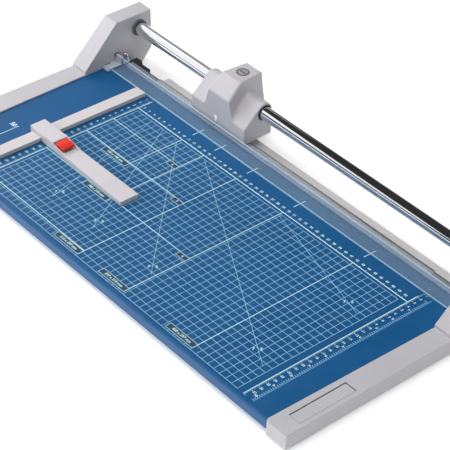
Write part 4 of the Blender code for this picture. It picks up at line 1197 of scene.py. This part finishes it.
def press_rollers():
    """Soft rollers that press the strip down under the head."""
    for side in ("left", "right"):
        low, high = span(f"press_roller_{side}")
        radius, width = (high.z - low.z) / 2, high.y - low.y
        centre = ((low.x + high.x) / 2, low.y, (low.z + high.z) / 2)
        section = [(radius, width, 0.8), (radius, 0.0, 0.8), (1.4, 0.0), (1.4, width)]
        roller = turned_ring(f"soft_roller_{side}", "Y", centre, section, 64, steps=5)
        dress(roller, f"roller_{side}", "dark_rubber", f"press_roller_{side}")


# ---- paper stop, gauge and lever

def stop_bar():
    """Enamelled bar with softly rounded top edges."""
    bar = block("enamelled_stop", STOP_LOW, STOP_HIGH)
    soften(bar, 0.6, segments=4)
    for i in (1, 2):
        spot = middle(f"stop_bar_screw_{i}")
        cut(bar, rod("thread", "Z", (spot.x, spot.y, STOP_LOW.z), 1.7, 8.0, 32))
    dress(bar, "base", "bar_enamel", "paper_stop_bar")


def gauge_arm():
    """Saddle block, its swept drop and the long arm, with the lever's pocket and finger dip."""
    low, high = span("back_gauge_arm")
    bar_left = STOP_LOW.x
    arm_top = BOARD_TOP + 6.5
    outline = rounded([
        (low.x, BOARD_TOP + 2.0, 0.5),
        (bar_left - 0.4, BOARD_TOP + 2.0),
        (bar_left - 0.4, STOP_HIGH.z + 0.4, 0.6),
        (STOP_X + 0.4, STOP_HIGH.z + 0.4, 0.6),
        (STOP_X + 0.4, low.z),
        (high.x, low.z),
        (high.x, arm_top),
        (STOP_X + 54.0, arm_top, 14.0),
        (STOP_X + 22.0, high.z, 4.0),
        (low.x, high.z),
    ], steps=10)
    arm = prism("gauge_body", outline, low.y + GAUGE_FLARE, high.y, "XZ")
    pin = middle("lever_pin")
    centre = pin.y
    for vertex in arm.data.vertices:
        if vertex.co.y < centre * MM:
            share = (vertex.co.x / MM - low.x) / (high.x - low.x)
            vertex.co.y -= GAUGE_FLARE * share * MM
    soften(arm, 0.8, segments=4, angle=50)
    pocket = block("pocket", (STOP_X + 24.5, centre - 10.6, BOARD_TOP + 4.6),
                   (STOP_X + 45.4, centre + 10.6, 60.0))
    track = block("track", (STOP_X - 1.0, centre - 6.3, BOARD_TOP - 1.0),
                  (STOP_X + 27.0, centre + 6.3, BOARD_TOP + 5.4))
    cut(arm, pocket, track, rod("pin_hole", "Y", tuple(pin), 1.3, 22.4, 32))
    dip = block("dip", (STOP_X + 45.0, centre - 9.0, BOARD_TOP + 5.6), (STOP_X + 52.0, centre + 9.0, 60.0))
    cut(arm, dip)
    dress(arm, "gauge", "gauge_plastic", "back_gauge_arm")


def red_lever():
    """Cam lever with a crowned top and rounded edges."""
    low, high = span("clamp_lever")
    pin = middle("lever_pin")
    x, z = pin.x, pin.z
    outline = rounded([
        (x - 3.0, z - 2.6, 1.2),
        (x + 3.0, z - 3.6, 1.2),
        (x + 8.0, z - 1.6, 3.0),
        (x + 14.0, z - 1.2, 1.0),
        (x + 14.2, z + 2.2, 1.4),
        (x + 7.0, z + 3.7, 12.0),
        (x - 3.0, z + 3.2, 1.8),
    ], steps=8)
    lever = prism("cam_lever", outline, low.y, high.y, "XZ")
    soften(lever, 1.1, segments=5, angle=50)
    cut(lever, rod("eye", "Y", tuple(pin), 1.15, 40.0, 32))
    dress(lever, "lever", "red_plastic", "clamp_lever")


# ---- CAD nodes kept as they are

def keep_cad_nodes():
    """Give the CAD nodes that stay in view their finish, by the slot the record names."""
    for entry in frame["record"]["subparts"]:
        node = frame["nodes"][entry["node"]]
        if not node.hide_render:
            node.data.materials.clear()
            node.data.materials.append(FINISHES[entry["material_slot"]])


# ---- stage, light and camera

def look_at(obj, target):
    """Point an object's -Z at a place."""
    direction = Vector(target) - obj.location
    obj.rotation_euler = direction.to_track_quat("-Z", "Y").to_euler()


def softbox(name, place_m, target, size, power, tone=(1.0, 1.0, 1.0)):
    """Rectangular area light."""
    data = bpy.data.lights.new(name, "AREA")
    data.shape = "RECTANGLE"
    data.size, data.size_y = size
    data.energy = power
    data.color = tone
    light = bpy.data.objects.new(name, data)
    bpy.context.scene.collection.objects.link(light)
    light.location = place_m
    look_at(light, target)
    light.visible_camera = False
    return light


def pale_floor():
    """Plain pale floor that grows brighter far from the object, so that it has no visible edge."""
    floor = block("floor", (-6000.0, -6000.0, -20.0), (6000.0, 6000.0, -0.05))
    surface = Surface("pale_floor", (0.90, 0.90, 0.905), 0.7, Specular_IOR_Level=0.1)
    surface.set("Emission Color", (1.0, 1.0, 1.0, 1.0))
    distance = surface.node("VectorMath")
    distance.operation = "LENGTH"
    surface.link(surface.coords, distance.inputs["Vector"])
    glow = surface.ranged(distance.outputs["Value"], 0.38, 0.95, 0.8, 3.0)
    surface.link(glow, surface.shader.inputs["Emission Strength"])
    surface.rough(surface.noise(3.0), 0.66, 0.74)
    floor.data.materials.append(surface.material)


def studio_world():
    """Dim surroundings for reflections, pale to the camera."""
    world = bpy.data.worlds.new("studio")
    bpy.context.scene.world = world
    world.use_nodes = True
    tree = world.node_tree
    background = tree.nodes["Background"]
    path = tree.nodes.new("ShaderNodeLightPath")
    mix = tree.nodes.new("ShaderNodeMix")
    mix.data_type = "RGBA"
    mix.inputs["A"].default_value = (0.03, 0.03, 0.032, 1.0)
    mix.inputs["B"].default_value = (1.0, 1.0, 1.0, 1.0)
    tree.links.new(path.outputs["Is Camera Ray"], mix.inputs["Factor"])
    tree.links.new(mix.outputs["Result"], background.inputs["Color"])


def card(name, place_m, target, size, glow):
    """Panel that is only seen reflected, in the chrome and the enamel; its power gives it an even glow."""
    light = softbox(name, place_m, target, size, glow * math.pi * size[0] * size[1])
    light.visible_diffuse = False
    return light


def studio_lights():
    """Soft boxes at the left, overhead, in front and at the right, and the cards that the tube reflects."""
    key = softbox("left_key", (-1.4, -0.9, 0.85), (0.0, -0.9, 0.85), (2.8, 1.5), 41.0)
    key.visible_glossy = False
    softbox("top_key", (0.0, 0.0, 2.6), (0.0, 0.0, 0.0), (2.0, 2.0), 45.0)
    softbox("front_fill", (-0.2, -2.4, 0.9), (0.0, 0.0, 0.0), (2.0, 1.4), 21.0)
    softbox("right_fill", (2.4, 0.3, 0.8), (0.0, 0.0, 0.0), (1.6, 1.6), 10.0)
    card("left_card", (-1.36, -0.35, 0.95), (0.0, -0.35, 0.95), (1.9, 1.2), 1.0)
    card("left_front_card", (-1.36, -1.8, 1.15), (0.0, -1.8, 1.15), (1.0, 0.8), 0.85)
    card("left_rear_card", (-1.44, 0.85, 0.8), (0.0, 0.85, 0.8), (1.5, 1.5), 0.30)
    card("rear_card", (-1.2, 2.4, 0.45), (-0.2, 0.2, 0.1), (2.4, 0.9), 0.35)


AIM = Vector((0.0358, 0.0013, 0.020))
AZIMUTH, ELEVATION, ROLL = math.radians(48.61), math.radians(37.56), math.radians(2.12)
DISTANCE = 2.2338
LENS = 150.3


def camera():
    """Camera at the photograph's angle."""
    data = bpy.data.cameras.new("camera")
    data.lens = LENS
    data.sensor_width = 36.0
    data.clip_end = 50.0
    obj = bpy.data.objects.new("camera", data)
    bpy.context.scene.collection.objects.link(obj)
    level = math.cos(ELEVATION)
    back = Vector((math.sin(AZIMUTH) * level, -math.cos(AZIMUTH) * level, math.sin(ELEVATION)))
    right = Vector((math.cos(AZIMUTH), math.sin(AZIMUTH), 0.0))
    up = back.cross(right)
    right, up = right * math.cos(ROLL) + up * math.sin(ROLL), up * math.cos(ROLL) - right * math.sin(ROLL)
    turn = Matrix((right, up, back)).transposed().to_4x4()
    obj.matrix_world = Matrix.Translation(AIM + back * DISTANCE) @ turn
    bpy.context.scene.camera = obj


def build():
    """Make every piece."""
    for side in (-1, 1):
        frame_shell(side)
    table_skin()
    print_grid()
    print_angles()
    print_page_lines()
    print_side_lines()
    print_labels()
    print_ticks()
    print_numbers()
    tube_and_rings()
    screws()
    feet()
    strip_extrusion()
    strip_clip("left")
    strip_clip("right")
    strip_posts()
    strip_springs()
    head_shell()
    head_badge()
    cut_pointer()
    tube_bushes()
    blade_and_hub()
    press_rollers()
    stop_bar()
    gauge_arm()
    red_lever()
    keep_cad_nodes()
    pale_floor()
    studio_world()
    studio_lights()
    camera()


build()
bpy.context.scene.view_settings.view_transform = "Standard"
